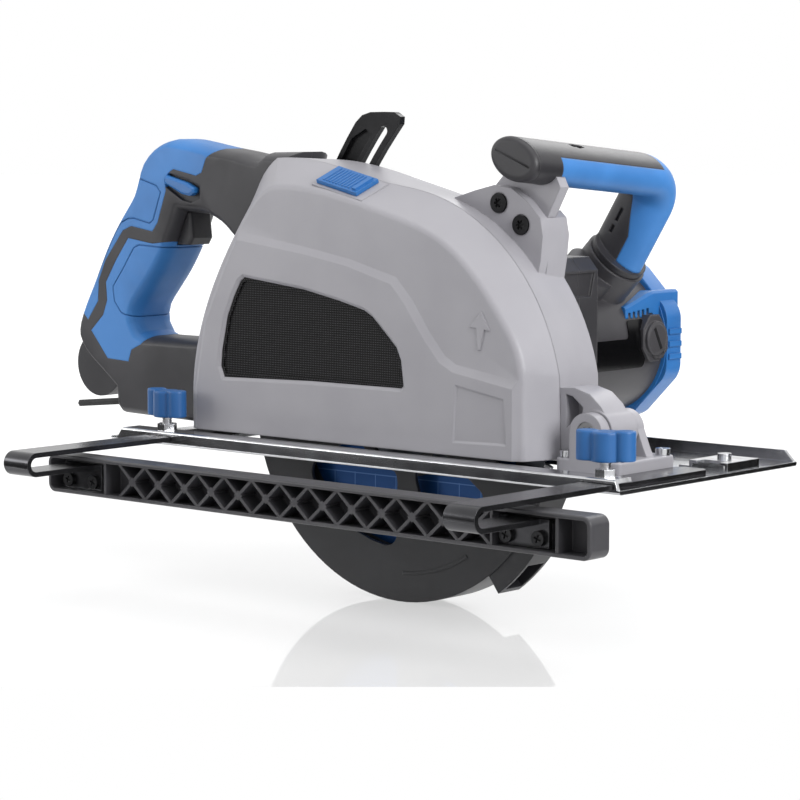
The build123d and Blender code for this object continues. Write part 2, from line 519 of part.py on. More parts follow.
def debris_box():
    """Chip collector: drafted shell with window frame, raised band, recess, latch pocket."""
    outer = shell_loft(BOX_OUT, BOX_Y, SEAM_OUT, SEAM_Y - 0.3)
    outer = outer.fillet(5.0, [e for e in outer.edges() if abs(e.center().Y - BOX_Y) < 0.2
                               and e.center().Z > FOOT_Z + 2.5])
    cav = shell_loft(inset(BOX_OUT, 2.5), BOX_Y + 2.5, inset(SEAM_OUT, 2.5), SEAM_Y - 0.29)
    b = outer - cav
    # raised lower field with a sloping border that runs over the window and down to the nose
    out = follow([(-100.5, 136.5), (-47, 129), (-8, 122.5), (30, 113), (43, 100), (57, 81), (68, 68.5),
                  (76, 64), (122.5, 57), (122.5, FOOT_Z), (-141.5, FOOT_Z), (-141.5, 34), (-132.6, 79),
                  (-115.9, 113)])
    top = follow([(-101, 130), (-48, 123.5), (-9, 117), (26, 107.5), (37, 96), (52, 76), (64, 63),
                  (74, 58), (118.5, 51), (118.5, FOOT_Z), (-137, FOOT_Z), (-137, 34.4), (-128.3, 78),
                  (-111.7, 111.3)])
    b = b + poly_loft(out, BOX_Y + 0.5, top, FACE_Y)
    # shallow recess near the heel of the nose, and a turned-arrow boss
    b = b - poly_loft(follow([(76, 51), (112.5, 45), (114.5, 18), (74, 17)]), FACE_Y - 0.01,
                      follow([(77.2, 49.8), (111.5, 44), (113.5, 19.2), (75.2, 18.2)]), FACE_Y + 0.9)
    arrow = plate(follow([(92, 72), (94, 72), (97, 84), (101, 83.5), (94.5, 94.5), (86, 85), (91, 84.6)]),
                  BOX_Y - 0.7, BOX_Y + 0.3)
    b = b + arrow
    # window: chamfered frame, then a rebate that its panel is clipped into from inside
    b = b - plate(WINDOW, FACE_Y - 1, BOX_Y + 3)
    b = b - poly_loft(inset(WINDOW, -1.9), FACE_Y - 0.01, inset(WINDOW, 0.01), FACE_Y + 1.7)
    b = b - plate(inset(WINDOW, -3.0), PANEL_Y - 0.05, BOX_Y + 3)
    # latch pocket on the crown
    b = b - latch_block(0.35, -2.3, 3)
    b = b + latch_block(2.0, -3.6, -2.3) - latch_block(0.35, -2.3, 3)
    # two hooks at the foot that drop inside the fixed guard's rim
    for x in (-120 * GROW, 90 * GROW):
        b = b + box(x - 7, x + 7, SEAM_Y - 3, SEAM_Y + 2.0, FOOT_Z + 7, FOOT_Z + 9.5)
    b = b - box(-100 * GROW, 60 * GROW, BOX_Y + 5, SEAM_Y - 3, FOOT_Z - 1, FOOT_Z + 3)
    return one(b)


PANEL_Y = FACE_Y + 2.4     # front of the window panel
WINDOW = follow([(-96, 107), (-46, 101.5), (-16, 95.8), (4, 91), (10.5, 87.5), (20, 79), (29.5, 70),
                 (33, 62.5), (35, 47.5), (33.5, 46), (-39, 45.8), (-114, 43.8), (-117, 50.5),
                 (-116, 61), (-111, 82.5), (-105, 95.5), (-99.5, 104.5)])

# the latch lies on the sloping crown between the box face and the seam
LATCH_O = (-19.0 * GROW, -34.0, FOOT_Z + 158.3 * GROW)
LATCH_PL = Plane(origin=LATCH_O, x_dir=Vector(0.976, -0.02, -0.216), z_dir=Vector(0.197, -0.42, 0.886))


def latch_block(grow, z0, z1):
    w, d = 38.0 + 2 * grow, 20.0 + 2 * grow
    pl = LATCH_PL.offset(z0)
    return Solid.make_box(w, d, z1 - z0, Plane(origin=pl.origin - pl.x_dir * (w / 2) - pl.y_dir * (d / 2),
                                               x_dir=pl.x_dir, z_dir=pl.z_dir))


def latch():
    """Ribbed slide latch in the crown pocket, free to slide 4 mm."""
    def part(dx0, dx1, dy0, dy1, dz0, dz1):
        o = LATCH_PL.origin + LATCH_PL.x_dir * dx0 + LATCH_PL.y_dir * dy0 + LATCH_PL.z_dir * dz0
        return Solid.make_box(dx1 - dx0, dy1 - dy0, dz1 - dz0,
                              Plane(origin=o, x_dir=LATCH_PL.x_dir, z_dir=LATCH_PL.z_dir))
    s = part(-18.8, 14.8, -9.8, 9.8, -2.2, 0.3)
    for i in range(9):
        s = s + part(-15.0 + i * 2.6, -13.8 + i * 2.6, -8.0, 8.0, 0.2, 0.9)
    return one(s + part(9.6, 12.6, -8.0, 8.0, 0.2, 1.6))


def window_panel():
    """Mesh panel clipped into the window rebate, its field set back inside a narrow border."""
    p = plate(inset(WINDOW, -2.7), PANEL_Y, PANEL_Y + 1.4)
    p = p + plate(inset(WINDOW, 0.35), PANEL_Y - 0.6, PANEL_Y + 0.1)
    return one(p - plate(inset(WINDOW, 2.2), PANEL_Y - 2, PANEL_Y + 0.3))


# ================================================================ blade train
def blade():
    """Toothed plate: hooked gullets, bore, four expansion slots."""
    pts = []
    for i in range(TEETH):
        a = 360.0 * i / TEETH
        s = 360.0 / TEETH
        # teeth lead in the direction of rotation: up through the front of the cut
        pts += [polar(ARB, BLADE_R, a), polar(ARB, BLADE_R - 6.2, a + 0.06 * s),
                polar(ARB, BLADE_R - 7.6, a + 0.24 * s), polar(ARB, BLADE_R - 6.4, a + 0.44 * s),
                polar(ARB, BLADE_R - 1.0, a + 0.72 * s)]
    b = plate(pts, -BLADE_T / 2, BLADE_T / 2) - cyl(ARB, BORE_D / 2, -3, 3)
    for a in (20, 110, 200, 290):
        b = b - sector(ARB, BLADE_R - 31, BLADE_R + 1, a + 4.6, a + 5.3, -2, 2, 2) - cyl(
            polar(ARB, BLADE_R - 31, a + 4.95), 2.6, -2, 2)
    return one(b)


def inner_flange():
    f = cyl(ARB, 24, BLADE_T / 2, 4.4) + cyl(ARB, BORE_D / 2, -0.7, BLADE_T / 2 + 0.5)
    f = f - tube(ARB, 20, 14, 0.5, 1.7)
    return one(f - cyl(ARB, 6.0, -3, 6))


def outer_flange():
    f = cyl(ARB, 24, -3.9, -BLADE_T / 2) - tube(ARB, 19, 13.2, -1.7, 0)
    f = f - tube(ARB, 30, 21.5, -5, -3.1)
    return one(f - cyl(ARB, 5.0, -6, 1))


def arbor_bolt():
    b = cyl(ARB, 5.0, -4.0, 7.0) + cyl(ARB, 9.2, -5.4, -3.9) + hexagon(ARB, 15, -10.6, -5.3)
    return one(b)


SPIN_R = 6.0


def spindle():
    """Stepped output spindle: nose, shoulder, bearing seat, gear seat, tail."""
    s = cyl(ARB, SPIN_R, -0.6, 56.5) + cyl(ARB, 9.0, 4.4, 9.3)
    s = s - cyl(ARB, 5.0, -2, 7.0)
    s = s + (cyl(ARB, 7.5, 21.5, 29.5))
    return one(s)


def bearing(c, r_out, r_in, y0, y1):
    """Two rings with a shield groove each side."""
    b = tube(c, r_out, r_in, y0, y1)
    m0, m1 = r_in + (r_out - r_in) * 0.30, r_in + (r_out - r_in) * 0.72
    return one(b - tube(c, m1, m0, y0 - 1, y0 + 0.8) - tube(c, m1, m0, y1 - 0.8, y1 + 1))


def gear(c, z, y0, y1, bore, phase, back=0.16):
    """Spur gear with straight-sided approximations of involute flanks."""
    r = MOD * z / 2
    ra, rf = r + 0.86 * MOD, r - 1.16 * MOD
    th = 90.0 / z
    pts = []
    for i in range(z):
        a = phase + 360.0 * i / z
        bl = math.degrees(back / 2 / r)
        wt, wr = th * 0.44 - bl, th * 1.42 - bl
        wp = th - bl
        pts += [polar(c, rf, a - wr), polar(c, r, a - wp), polar(c, ra, a - wt), polar(c, ra, a + wt),
                polar(c, r, a + wp), polar(c, rf, a + wr)]
    return plate(pts, y0, y1) - cyl(c, bore, y0 - 1, y1 + 1)


def triangle_apex(p, q, rp, rq, side):
    """Point at distance rp from p and rq from q."""
    d = math.hypot(q[0] - p[0], q[1] - p[1])
    a = (rp * rp - rq * rq + d * d) / (2 * d)
    h = math.sqrt(rp * rp - a * a)
    ux, uz = (q[0] - p[0]) / d, (q[1] - p[1]) / d
    return (p[0] + ux * a + side * uz * h, p[1] + uz * a - side * ux * h)


CD1 = MOD * (Z_PIN1 + Z_GEAR1) / 2
CD2 = MOD * (Z_PIN2 + Z_GEAR2) / 2
LAY = triangle_apex(ARB, MOT, CD2, CD1, 1)      # layshaft axis
GY1 = (43.0, 50.0)         # first stage
GY2 = (30.0, 40.5)         # second stage


def bearing_angle(p, q):
    return math.degrees(math.atan2(q[1] - p[1], q[0] - p[0]))


def output_gear():
    a = bearing_angle(ARB, LAY)
    g = gear(ARB, Z_GEAR2, GY2[0], GY2[1], SPIN_R, a)      # a tooth points at the layshaft
    g = g + tube(ARB, 10.5, SPIN_R, GY2[1] - 0.1, GY2[1] + 2.2)
    return one(g - tube(ARB, 17.0, 11.5, GY2[0] - 1, GY2[0] + 2.5))


def lay_pinion():
    a = bearing_angle(LAY, ARB) + 180.0 / Z_PIN2           # a gap faces the spindle
    return one(gear(LAY, Z_PIN2, GY2[0] - 0.5, GY1[0] - 1.0, 4.0, a))


def lay_gear():
    a = bearing_angle(LAY, MOT)                            # a tooth points at the motor pinion
    g = gear(LAY, Z_GEAR1, GY1[0], GY1[1], 4.0, a)
    for k in range(5):
        g = g - cyl(polar(LAY, 14.0, a + 36 + 72 * k), 3.6, GY1[0] - 1, GY1[1] + 1)
    return one(g + tube(LAY, 7.0, 4.0, GY1[0] - 0.9, GY1[0]))


def motor_pinion():
    a = bearing_angle(MOT, LAY) + 180.0 / Z_PIN1
    return one(gear(MOT, Z_PIN1, GY1[0] - 0.5, GY1[1] + 0.5, 3.0, a))


def lay_shaft():
    return one(cyl(LAY, 4.0, 24.2, 56.0) + cyl(LAY, 6.0, GY1[1], GY1[1] + 1.2) + lay_pinion())


# ================================================================ swinging lower guard
LG_A0, LG_A1 = -168.0, -20.0
LG_NEAR, LG_FAR = (-11.0, -8.6), (12.0, 14.3)
CLIP_GROOVE = (10.2, 11.4)


def round_window(c, r0, r1, a0, a1, rc):
    """Corner points of a window between two radii and two angles, its corners rounded."""
    m = math.radians(1) * (r0 + r1) / 2
    pts = []
    for r, a, sr, sa, q in ((r1, a0, -1, 1, 90), (r1, a1, -1, -1, 0), (r0, a1, 1, -1, 270),
                            (r0, a0, 1, 1, 180)):
        for k in range(6):
            t = math.radians(q + 90 - k * 18)
            pts.append(polar(c, r + sr * rc + rc * math.sin(t), a + (sa * rc + rc * math.cos(t)) / m))
        if q == 90:
            pts += [polar(c, r1, a0 + (a1 - a0) * i / 8) for i in range(2, 7)]
        if q == 270:
            pts += [polar(c, r0, a1 - (a1 - a0) * i / 6) for i in range(2, 5)]
    return pts


def lower_guard():
    """Rim and two cheeks that ride on the spindle boss; near cheek has two windows."""
    g = sector(ARB, GUARD_R - 2.4, GUARD_R, LG_A0, LG_A1, LG_NEAR[0], LG_FAR[1], 40)
    near = sector(ARB, 34, GUARD_R - 1, LG_A0, LG_A1, *LG_NEAR, 30)
    near = near + tube(ARB, 40, 34, *LG_NEAR)
    for a0, a1 in ((-150, -91), (-73, -36)):
        near = near - plate(round_window(ARB, 40, GUARD_R - 33, a0, a1, 8.0), -14, -6)
    far = sector(ARB, 30, GUARD_R - 1, LG_A0, LG_A1, *LG_FAR, 30) + cyl(ARB, 34, *LG_FAR)
    hub = tube(ARB, 24.0, BOSS_R + RUN, LG_FAR[0], 17.6)
    g = g + near + far + hub - cyl(ARB, BOSS_R + RUN, 11, 19)
    # curved rib pressed out of the near cheek
    g = g + sector(ARB, GUARD_R - 19.0, GUARD_R - 16.8, -88, -58, LG_NEAR[0] - 0.5, LG_NEAR[0] + 0.2, 12)
    # lift lip at the front
    lip = sector(ARB, GUARD_R - 1.2, GUARD_R + 12, -54, -37, -10, 10, 8)
    lip = lip - sector(ARB, GUARD_R + 1.5, GUARD_R + 13, -52, -42, -7.6, 7.6, 6)
    return one(g + lip)


def guard_spring():
    s = tube(ARB, 27.4, 24.0, 14.3, 17.5)
    for y in (15.1, 16.2):
        s = s - tube(ARB, 28, 26.6, y, y + 0.35)
    return one(s)


def guard_ring():
    r = tube(ARB, 25.5, BOSS_R - 1.0, *CLIP_GROOVE)
    return one(r - plate([(-2.5, ARBOR_Z), (-8, ARBOR_Z - 30), (8, ARBOR_Z - 30), (2.5, ARBOR_Z)], 5, 15))


# ================================================================ gear case and motor
CASE_BLOCK = [(84, 34), (84, 113), (77, 121), (-10, 121), (-26, 104), (-31, 60), (-31, 22),
              (-22, 8), (-8, 4.5), (44, 4.5), (66, 12)]
BACK = (56.0, GEAR_Y1)


def gear_case():
    """Cup over the two-stage train, open toward the fixed guard, bearing seats behind."""
    g = plate(CASE_BLOCK, CASE_Y, GEAR_Y1) - plate(inset(CASE_BLOCK, 3.2), CASE_Y - 1, BACK[0])
    for c, r, d in ((ARB, 13.0, 10.0), (LAY, 10.5, 7.5), (MOT, 16.0, 13.0)):
        g = g + cyl(c, r, BACK[0] - 4.4, BACK[0] + 0.5)
        g = g - cyl(c, d, BACK[0] - 5.4, BACK[1] - 1.4)
    g = g - cyl(MOT, 9.0, 40, GEAR_Y1 + 1)
    for c in CASE_SCREWS:
        g = g + (cyl(c, 5.5, CASE_Y, BACK[0] + 0.5) & plate(CASE_BLOCK, CASE_Y, GEAR_Y1))
        g = g - cyl(c, 1.9, CASE_Y - 1, CASE_Y + 14)
    g = g - cyl(LAY, 25.0, 42.3, 50.9)
    g = g - cyl(ARB, 24.0, 28.8, 42.4)
    # guided boss of the spindle lock in the roof
    g = g + post(LOCK_AT[0], 36.0, 10.5, 106, 120) + post(LOCK_AT[0], 36.0, 10.0, 119.9, 121)
    g = g - post(LOCK_AT[0], 36.0, 7.3, 115.5, 130) - post(LOCK_AT[0], 36.0, 3.0 + RUN, 100, 130)
    # recessed panel in the upper front corner, shared with the housing
    g = g - strip([(43, 107), (47, 111.5), (61, 111.5), (61, 97), (57, 97)], 82.4, 85)
    return one(g)


def spindle_bush():
    return one(tube(ARB, 10.0, SPIN_R + RUN, BACK[0] - 4.4, BACK[1] - 1.4))


def lay_bushes():
    return tube(LAY, 7.5, 4.0 + RUN, BACK[0] - 4.4, BACK[1] - 1.4) + tube(LAY, 7.5, 4.0 + RUN, CASE_Y,
                                                                         CASE_Y + 6.0)


ARM_SEC = [(3.0, 42.0, 51.5), (5.0, 51.5, 62.0), (6.0, 62.0, 132.0), (5.0, 132.0, 164.0),
           (3.5, 164.0, 175.0)]
CORE_Y = (84.0, 128.0)
COMM_Y = (142.0, 158.0)
BRUSH_Y, BRUSH_Z = 150.5, MOT[1]


def armature_shaft():
    s = cyl(MOT, ARM_SEC[0][0], ARM_SEC[0][1], ARM_SEC[0][2] + 0.1)
    for r, a, b in ARM_SEC[1:]:
        s = s + cyl(MOT, r, a, b)
    return one(s + motor_pinion())


def armature_core():
    c = tube(MOT, 24.0, 6.0, *CORE_Y)
    for i in range(12):
        c = c - sector(MOT, 17.5, 25, i * 30 - 5, i * 30 + 5, CORE_Y[0] - 1, CORE_Y[1] + 1, 2)
    return one(c)


def armature_windings():
    w = None
    for i in range(12):
        b = sector(MOT, 17.8, 23.2, i * 30 - 4.6, i * 30 + 4.6, CORE_Y[0] - 7, CORE_Y[1] + 7, 2)
        w = b if w is None else w + b
    for y0 in (CORE_Y[0] - 7, CORE_Y[1] + 0.6):
        w = w + tube(MOT, 23.2, 9.0, y0, y0 + 6.4)
    return one(w)


def commutator():
    c = tube(MOT, 13.0, 5.0, *COMM_Y) + tube(MOT, 15.0, 5.0, COMM_Y[0] - 3.0, COMM_Y[0])
    for i in range(18):
        c = c - sector(MOT, 12.0, 14.0, i * 20 - 1, i * 20 + 1, COMM_Y[0] + 0.5, COMM_Y[1] + 1, 2)
    return one(c)


def fan():
    """Radial cooling fan: back plate, hub and swept blades."""
    f = cyl(MOT, 39.0, 64.0, 65.8) + cyl(MOT, 11.0, 64.0, 76.0)
    for i in range(14):
        a = i * 360.0 / 14
        pts = [polar(MOT, 14, a), polar(MOT, 26, a - 9), polar(MOT, 38.2, a - 24),
               polar(MOT, 38.2, a - 21.5), polar(MOT, 26, a - 6), polar(MOT, 14, a + 5)]
        f = f + plate(pts, 65.6, 75.0)
    return one(f - cyl(MOT, 6.0, 60, 80))


def stator():
    s = tube(MOT, MOT_R - 4.0, 25.0, CORE_Y[0], CORE_Y[1])
    for a in (0, 180):
        s = s - sector(MOT, 26.5, 36, a - 34, a + 34, CORE_Y[0] - 1, CORE_Y[1] + 1, 8)
    return one(s)


def field_coils():
    w = None
    for a in (0, 180):
        b = sector(MOT, 27.0, 35.5, a - 33, a + 33, CORE_Y[0] - 8, CORE_Y[1] + 8, 8)
        w = b if w is None else w + b
    return w


def octagon(c, half, x0, x1):
    k = half * math.tan(math.radians(22.5))
    pts = [(c[0] + sy * a, c[1] + sz * b) for sy, sz, a, b in
           ((1, 1, half, k), (1, 1, k, half), (-1, 1, k, half), (-1, 1, half, k),
            (-1, -1, half, k), (-1, -1, k, half), (1, -1, k, half), (1, -1, half, k))]
    return strip(pts, x0, x1)


BRUSH_OUT = 51.0
COLLAR_C, COLLAR_N = (66.0, 121.0, 118.0), (0.70, 0.0, 0.714)


def motor_housing():
    """Barrel with flange block, brush bosses, handle collar boss."""
    h = cyl(MOT, MOT_R, GEAR_Y1, MOT_END)
    blk = plate([(84, 56), (84, 113), (77, 121), (-10, 121), (-24, 106), (-27, 90), (-20, 56), (0, 16),
                 (40, 16), (66, 22)], GEAR_Y1, 78)
    blk = blk - strip([(59, 111.5), (75, 111.5), (71, 97), (59, 97)], 82.4, 85)
    h = h + blk
    for s in (1, -1):
        x0, x1 = sorted((MOT[0] + s * (MOT_R - 6), MOT[0] + s * BRUSH_OUT))
        h = h + octagon((BRUSH_Y, BRUSH_Z), 9.4, x0, x1)
    boss = rod((COLLAR_C[0] - 26 * COLLAR_N[0], COLLAR_C[1], COLLAR_C[2] - 26 * COLLAR_N[2]),
               COLLAR_C, 20.5)
    boss = boss + rod((COLLAR_C[0] - 26 * COLLAR_N[0], COLLAR_C[1] - 18, COLLAR_C[2] - 26 * COLLAR_N[2]),
                      (COLLAR_C[0] - 8 * COLLAR_N[0], COLLAR_C[1] - 18, COLLAR_C[2] - 8 * COLLAR_N[2]), 17)
    h = h + boss
    h = h - cyl(MOT, MOT_R - 4.0, GEAR_Y1 + 2.5, MOT_END + 1) - cyl(MOT, 16.0, GEAR_Y1 - 1, GEAR_Y1 + 3)
    # bore for the handle's foot
    h = h - rod((COLLAR_C[0] - 9 * COLLAR_N[0], COLLAR_C[1], COLLAR_C[2] - 9 * COLLAR_N[2]),
                (COLLAR_C[0] + 3 * COLLAR_N[0], COLLAR_C[1], COLLAR_C[2] + 3 * COLLAR_N[2]), 12.0)
    # brush tunnels, round cap seats
    h = h - box(MOT[0] - BRUSH_OUT - 2, MOT[0] + BRUSH_OUT + 2, BRUSH_Y - 5.5, BRUSH_Y + 5.5,
                BRUSH_Z - 6.5, BRUSH_Z + 6.5)
    for s in (1, -1):
        x0, x1 = sorted((MOT[0] + s * (BRUSH_OUT - 3.5), MOT[0] + s * (BRUSH_OUT + 1)))
        h = h - rod((x0, BRUSH_Y, BRUSH_Z), (x1, BRUSH_Y, BRUSH_Z), 7.6)
    for i in range(4):      # air outlets under the flange
        h = h - box(MOT[0] + 20, MOT[0] + 60, 66, 76, 34 + i * 5, 36.6 + i * 5)
    return one(h)


def brush_cap(s):
    x0, x1 = sorted((MOT[0] + s * (BRUSH_OUT - 3.5), MOT[0] + s * (BRUSH_OUT + 0.8)))
    c = rod((x0, BRUSH_Y, BRUSH_Z), (x1, BRUSH_Y, BRUSH_Z), 7.6)
    xs0, xs1 = sorted((MOT[0] + s * (BRUSH_OUT - 0.7), MOT[0] + s * (BRUSH_OUT + 2)))
    return one(c - box(xs0, xs1, BRUSH_Y - 0.9, BRUSH_Y + 0.9, BRUSH_Z - 6, BRUSH_Z + 6))


def brush_parts(s):
    """Carbon brush, then the brass tunnel it slides in."""
    x0, x1 = sorted((MOT[0] + s * 13.3, MOT[0] + s * 34.0))
    b = box(x0, x1, BRUSH_Y - 4.0, BRUSH_Y + 4.0, BRUSH_Z - 5.0, BRUSH_Z + 5.0)
    x0, x1 = sorted((MOT[0] + s * 18.0, MOT[0] + s * (BRUSH_OUT - 3.5)))
    h = box(x0, x1, BRUSH_Y - 5.5, BRUSH_Y + 5.5, BRUSH_Z - 6.5, BRUSH_Z + 6.5)
    h = h - box(x0 - 1, x1 + 1, BRUSH_Y - 4.0, BRUSH_Y + 4.0, BRUSH_Z - 5.0, BRUSH_Z + 5.0)
    return b, one(h)


def end_cap():
    """Cup over the commutator end with a bearing seat, long vents and a chamfered rim."""
    c = cyl(MOT, CAP_R, CAP_Y0, CAP_Y1)
    c = c.chamfer(4.5, None, [e for e in c.edges() if e.center().Y > CAP_Y1 - 0.1])
    c = c - cyl(MOT, MOT_R - 4.0, CAP_Y0 - 1, CAP_Y1 - 3.5)
    c = c + tube(MOT, 12.5, 9.5, CAP_Y1 - 14, CAP_Y1 - 3)
    for i in range(8):
        a = 20 + i * 20
        c = c - sector(MOT, 20, 38, a - 3.2, a + 3.2, CAP_Y1 - 5, CAP_Y1 + 1, 2)
        c = c - sector(MOT, 20, 38, 180 + a - 3.2, 180 + a + 3.2, CAP_Y1 - 5, CAP_Y1 + 1, 2)
    for i in range(3):
        c = c + (box(MOT[0] + CAP_R - 12, MOT[0] + CAP_R + 1.5, CAP_Y0 + 2, CAP_Y1 - 5,
                     52 + i * 8, 55.5 + i * 8) - cyl(MOT, CAP_R - 1, 100, 200))
    return one(c)


VENT_B = (40.0, 71.0, 124.0, CAP_Y1, 79.0, 95.0)


def vent_cover(housing):
    """Scoop over the barrel's vents: thin toothed nose, sloping roof, square hood behind."""
    x0, x1, y0, y1, z0, z1 = VENT_B
    v = strip([(y0, z0), (y0, z0 + 8), (y0 + 26, z1), (y0 + 29, z1 + 0.8), (y1, z1 + 0.8), (y1, z0)], x0, x1)
    v = v.chamfer(1.6, None, [e for e in v.edges() if e.center().X > x1 - 0.1
                              and e.center().Z > z1 - 0.5])
    v = v - cyl(MOT, MOT_R, y0 - 1, CAP_Y0) - cyl(MOT, CAP_R, CAP_Y0 - 0.5, y1 + 1)
    for i in range(5):
        ys = y0 + 3.0 + i * 4.8
        v = v - box(x1 - 9, x1 + 1, ys, ys + 2.6, z0 - 1, z0 + 4.2 + i * 0.5)
    v = v - box(x1 - 9, x1 + 1, y0 + 25, y0 + 29, z0 - 1, z0 + 3)
    return one(v - housing)


def motor_label(housing):
    """Bare data plate wrapped on the barrel."""
    def piece(a0, a1, y0, y1):
        return tube(MOT, MOT_R + 0.9, MOT_R + 0.3, y0, y1) & sector(MOT, 30, 60, a0, a1, y0 - 1, y1 + 1, 4)
    return one(piece(-17.5, 2.5, 80, 139.5) + piece(2.0, 19.0, 124, 139.5) - housing)


# ================================================================ depth bolt, lever, lock
def depth_bolt():
    b = cyl(BOLT, 6.6, 14.6, 16.6) + cyl(BOLT, BOLT_R - 0.05, 16.5, 44.0)
    return one(b)


LEVER_TIP = (BOLT[0] - 45.9, BOLT[1] + 23.5)


def depth_lever():
    hub = cyl(BOLT, 9.5, 30.1, 41.0) - cyl(BOLT, BOLT_R - 0.05, 28, 45)
    w = 5.0
    dx, dz = LEVER_TIP[0] - BOLT[0], LEVER_TIP[1] - BOLT[1]
    n = math.hypot(dx, dz)
    ux, uz = dx / n, dz / n
    arm_ = plate([(BOLT[0] + ux * 6 - uz * w, BOLT[1] + uz * 6 + ux * w),
                  (LEVER_TIP[0] - uz * w, LEVER_TIP[1] + ux * w),
                  (LEVER_TIP[0] + uz * w, LEVER_TIP[1] - ux * w),
                  (BOLT[0] + ux * 6 + uz * w, BOLT[1] + uz * 6 - ux * w)], 34.0, 40.5)
    return one(hub + arm_ + cyl(LEVER_TIP, 7.0, 32.0, 42.0))


def depth_washer():
    return one(tube(BOLT, 9.0, BOLT_R - 0.05, QUAD_Y1, 30.0))


LOCK_AT = (2.0, 121.0)


def spindle_lock():
    """Push button through the gear case roof; its pin reaches for the gear."""
    b = post(LOCK_AT[0], 36.0, 7.0, 120.2, 126.5) + post(LOCK_AT[0], 36.0, 3.0, 60.0, 121.0)
    return one(b)


# ================================================================ front handle
(BAR_X, BAR_Z0), (_, BAR_Z1) = follow([(93.0, 181.8), (93.0, 169.4)])
BAR_P0, BAR_P1 = (BAR_X, -17.0, BAR_Z0), (BAR_X, 128.0, BAR_Z1)
BAR_SEC, BAR_CORE = (18.5, 12.5), (15.6, 9.8)
BAR_BEND = 18.0
BAR_TILT = 22.0
GRIP_Y0, SPINE_Y1 = 9.0, 112.0


def bar(semi, start=0.0):
    """Oval bar from the near end, round the far bend, down into the collar."""
    p0, p1 = Vector(*BAR_P0), Vector(*BAR_P1)
    d1 = (p1 - p0).normalized()
    foot = Vector(*COLLAR_C) - Vector(*COLLAR_N) * 1.0
    path = FilletPolyline(p0 + d1 * start, p1, foot, radius=BAR_BEND)
    t = math.radians(BAR_TILT)
    pl = Plane(origin=p0 + d1 * start, x_dir=Vector(-math.cos(t), 0, math.sin(t)), z_dir=d1)
    sec = pl * Ellipse(*semi)
    s = sweep(sec, path=path)
    return one(s)


def bar_local(u0, u1, v0, v1, y0, y1):
    """Box in the bar's own tilted axes between two stations along Y."""
    t = math.radians(BAR_TILT)
    sl = (BAR_P1[2] - BAR_P0[2]) / (BAR_P1[1] - BAR_P0[1])

    def pt(u, v, y):
        zc = BAR_P0[2] + sl * (y - BAR_P0[1])
        return (BAR_P0[0] - u * math.cos(t) + v * math.sin(t), y,
                zc + u * math.sin(t) + v * math.cos(t))
    faces = []
    a = [pt(u, v, y0) for u, v in ((u0, v0), (u1, v0), (u1, v1), (u0, v1))]
    b = [pt(u, v, y1) for u, v in ((u0, v0), (u1, v0), (u1, v1), (u0, v1))]
    wa, wb = Wire.make_polygon(a, close=True), Wire.make_polygon(b, close=True)
    return Solid.make_loft([wa, wb], ruled=True)


def leg_frame(k):
    """Axes of the leg at a distance k below the bend: across, along, and the side facing the guard."""
    d = (Vector(*COLLAR_C) - Vector(*BAR_P1)).normalized()
    near = Vector(0, -1, 0) - d * d.dot(Vector(0, -1, 0))
    near = near.normalized()
    across = near.cross(d) if near.cross(d).X > 0 else d.cross(near)
    return Vector(*BAR_P1) + d * k, across, d, near


def leg_strip():
    """Wedge along the inner side of the leg where the core shows through the grip."""
    o, u, d, n = leg_frame(14.0)
    low, high = BAR_SEC[1] * 0.36, BAR_SEC[1] + 6
    rows = [(-26.0, 0.0), (-3.5, 0.0), (7.0, 26.0), (7.0, 70.0), (-26.0, 70.0)]
    wires = [Wire.make_polygon([o + u * a + d * b + n * h for a, b in rows], close=True)
             for h in (low, high)]
    return Solid.make_loft(wires, ruled=True)


def front_handle():
    """Returns core, grip and end cap."""
    full, core = bar(BAR_SEC), bar(BAR_CORE)
    lim = box(0, 240, GRIP_Y0, 200, COLLAR_C[2] - 30.0, 300)
    grip = (full & lim) - core
    grip = grip - bar_local(-13.5, 13.5, 5.2, 20, GRIP_Y0 - 2, SPINE_Y1) - leg_strip()
    grip = one(grip)
    body = full - grip
    cap = full & box(0, 240, -60, BAR_P0[1] + 4.6, 0, 300)
    body = body - cap
    rim = [e for e in cap.edges() if e.center().Y < BAR_P0[1] + 1.5]
    cap = one(cap.fillet(3.6, rim)) - bar_local(-14, 14, -0.5, 0.5, BAR_P0[1] - 2, BAR_P0[1] + 0.7)
    n = Vector(*COLLAR_N)
    c = Vector(*COLLAR_C)
    below = rod(c - n * 40, c, 34.0)
    body = body - below + rod(c, c + n * 4.5, 19.0) + rod(c - n * 8.8, c + n * 2, 12.0)
    grip = grip - rod(c - n * 40, c + n * 4.5, 19.0) - below
    # leaf-shaped lanyard hole in the spine
    t = math.radians(BAR_TILT)
    for dy, r in ((-4.0, 2.2), (0.0, 3.2), (4.0, 2.2)):
        y = 38.0 + dy
        z = BAR_P0[2] + (BAR_P1[2] - BAR_P0[2]) / (BAR_P1[1] - BAR_P0[1]) * (y - BAR_P0[1])
        a = (BAR_P0[0] + 5 * math.sin(t), y, z + 5 * math.cos(t))
        b = (BAR_P0[0] + 14 * math.sin(t), y, z + 14 * math.cos(t))
        body = body - rod(a, b, r)
    # two slots in the leg's inner spine
    for k, ln in ((27.0, 9.0), (39.0, 5.0)):
        o, u, d, n = leg_frame(k)
        w = [[o + u * (a - 5.5) + d * b + n * h for a, b in ((-1.3, 0), (1.3, 0), (1.3, ln), (-1.3, ln))]
             for h in (BAR_SEC[1] - 2.4, BAR_SEC[1] + 3)]
        body = body - Solid.make_loft([Wire.make_polygon(q, close=True) for q in w], ruled=True)
    return one(body), one(grip), one(cap)


POST = follow([(64, 166), (74, 176), (108, 174), (112.5, 165), (100.5, 143), (95, 130), (78, 138),
               (62, 150)])
POST_Y = (4.0, 12.0)


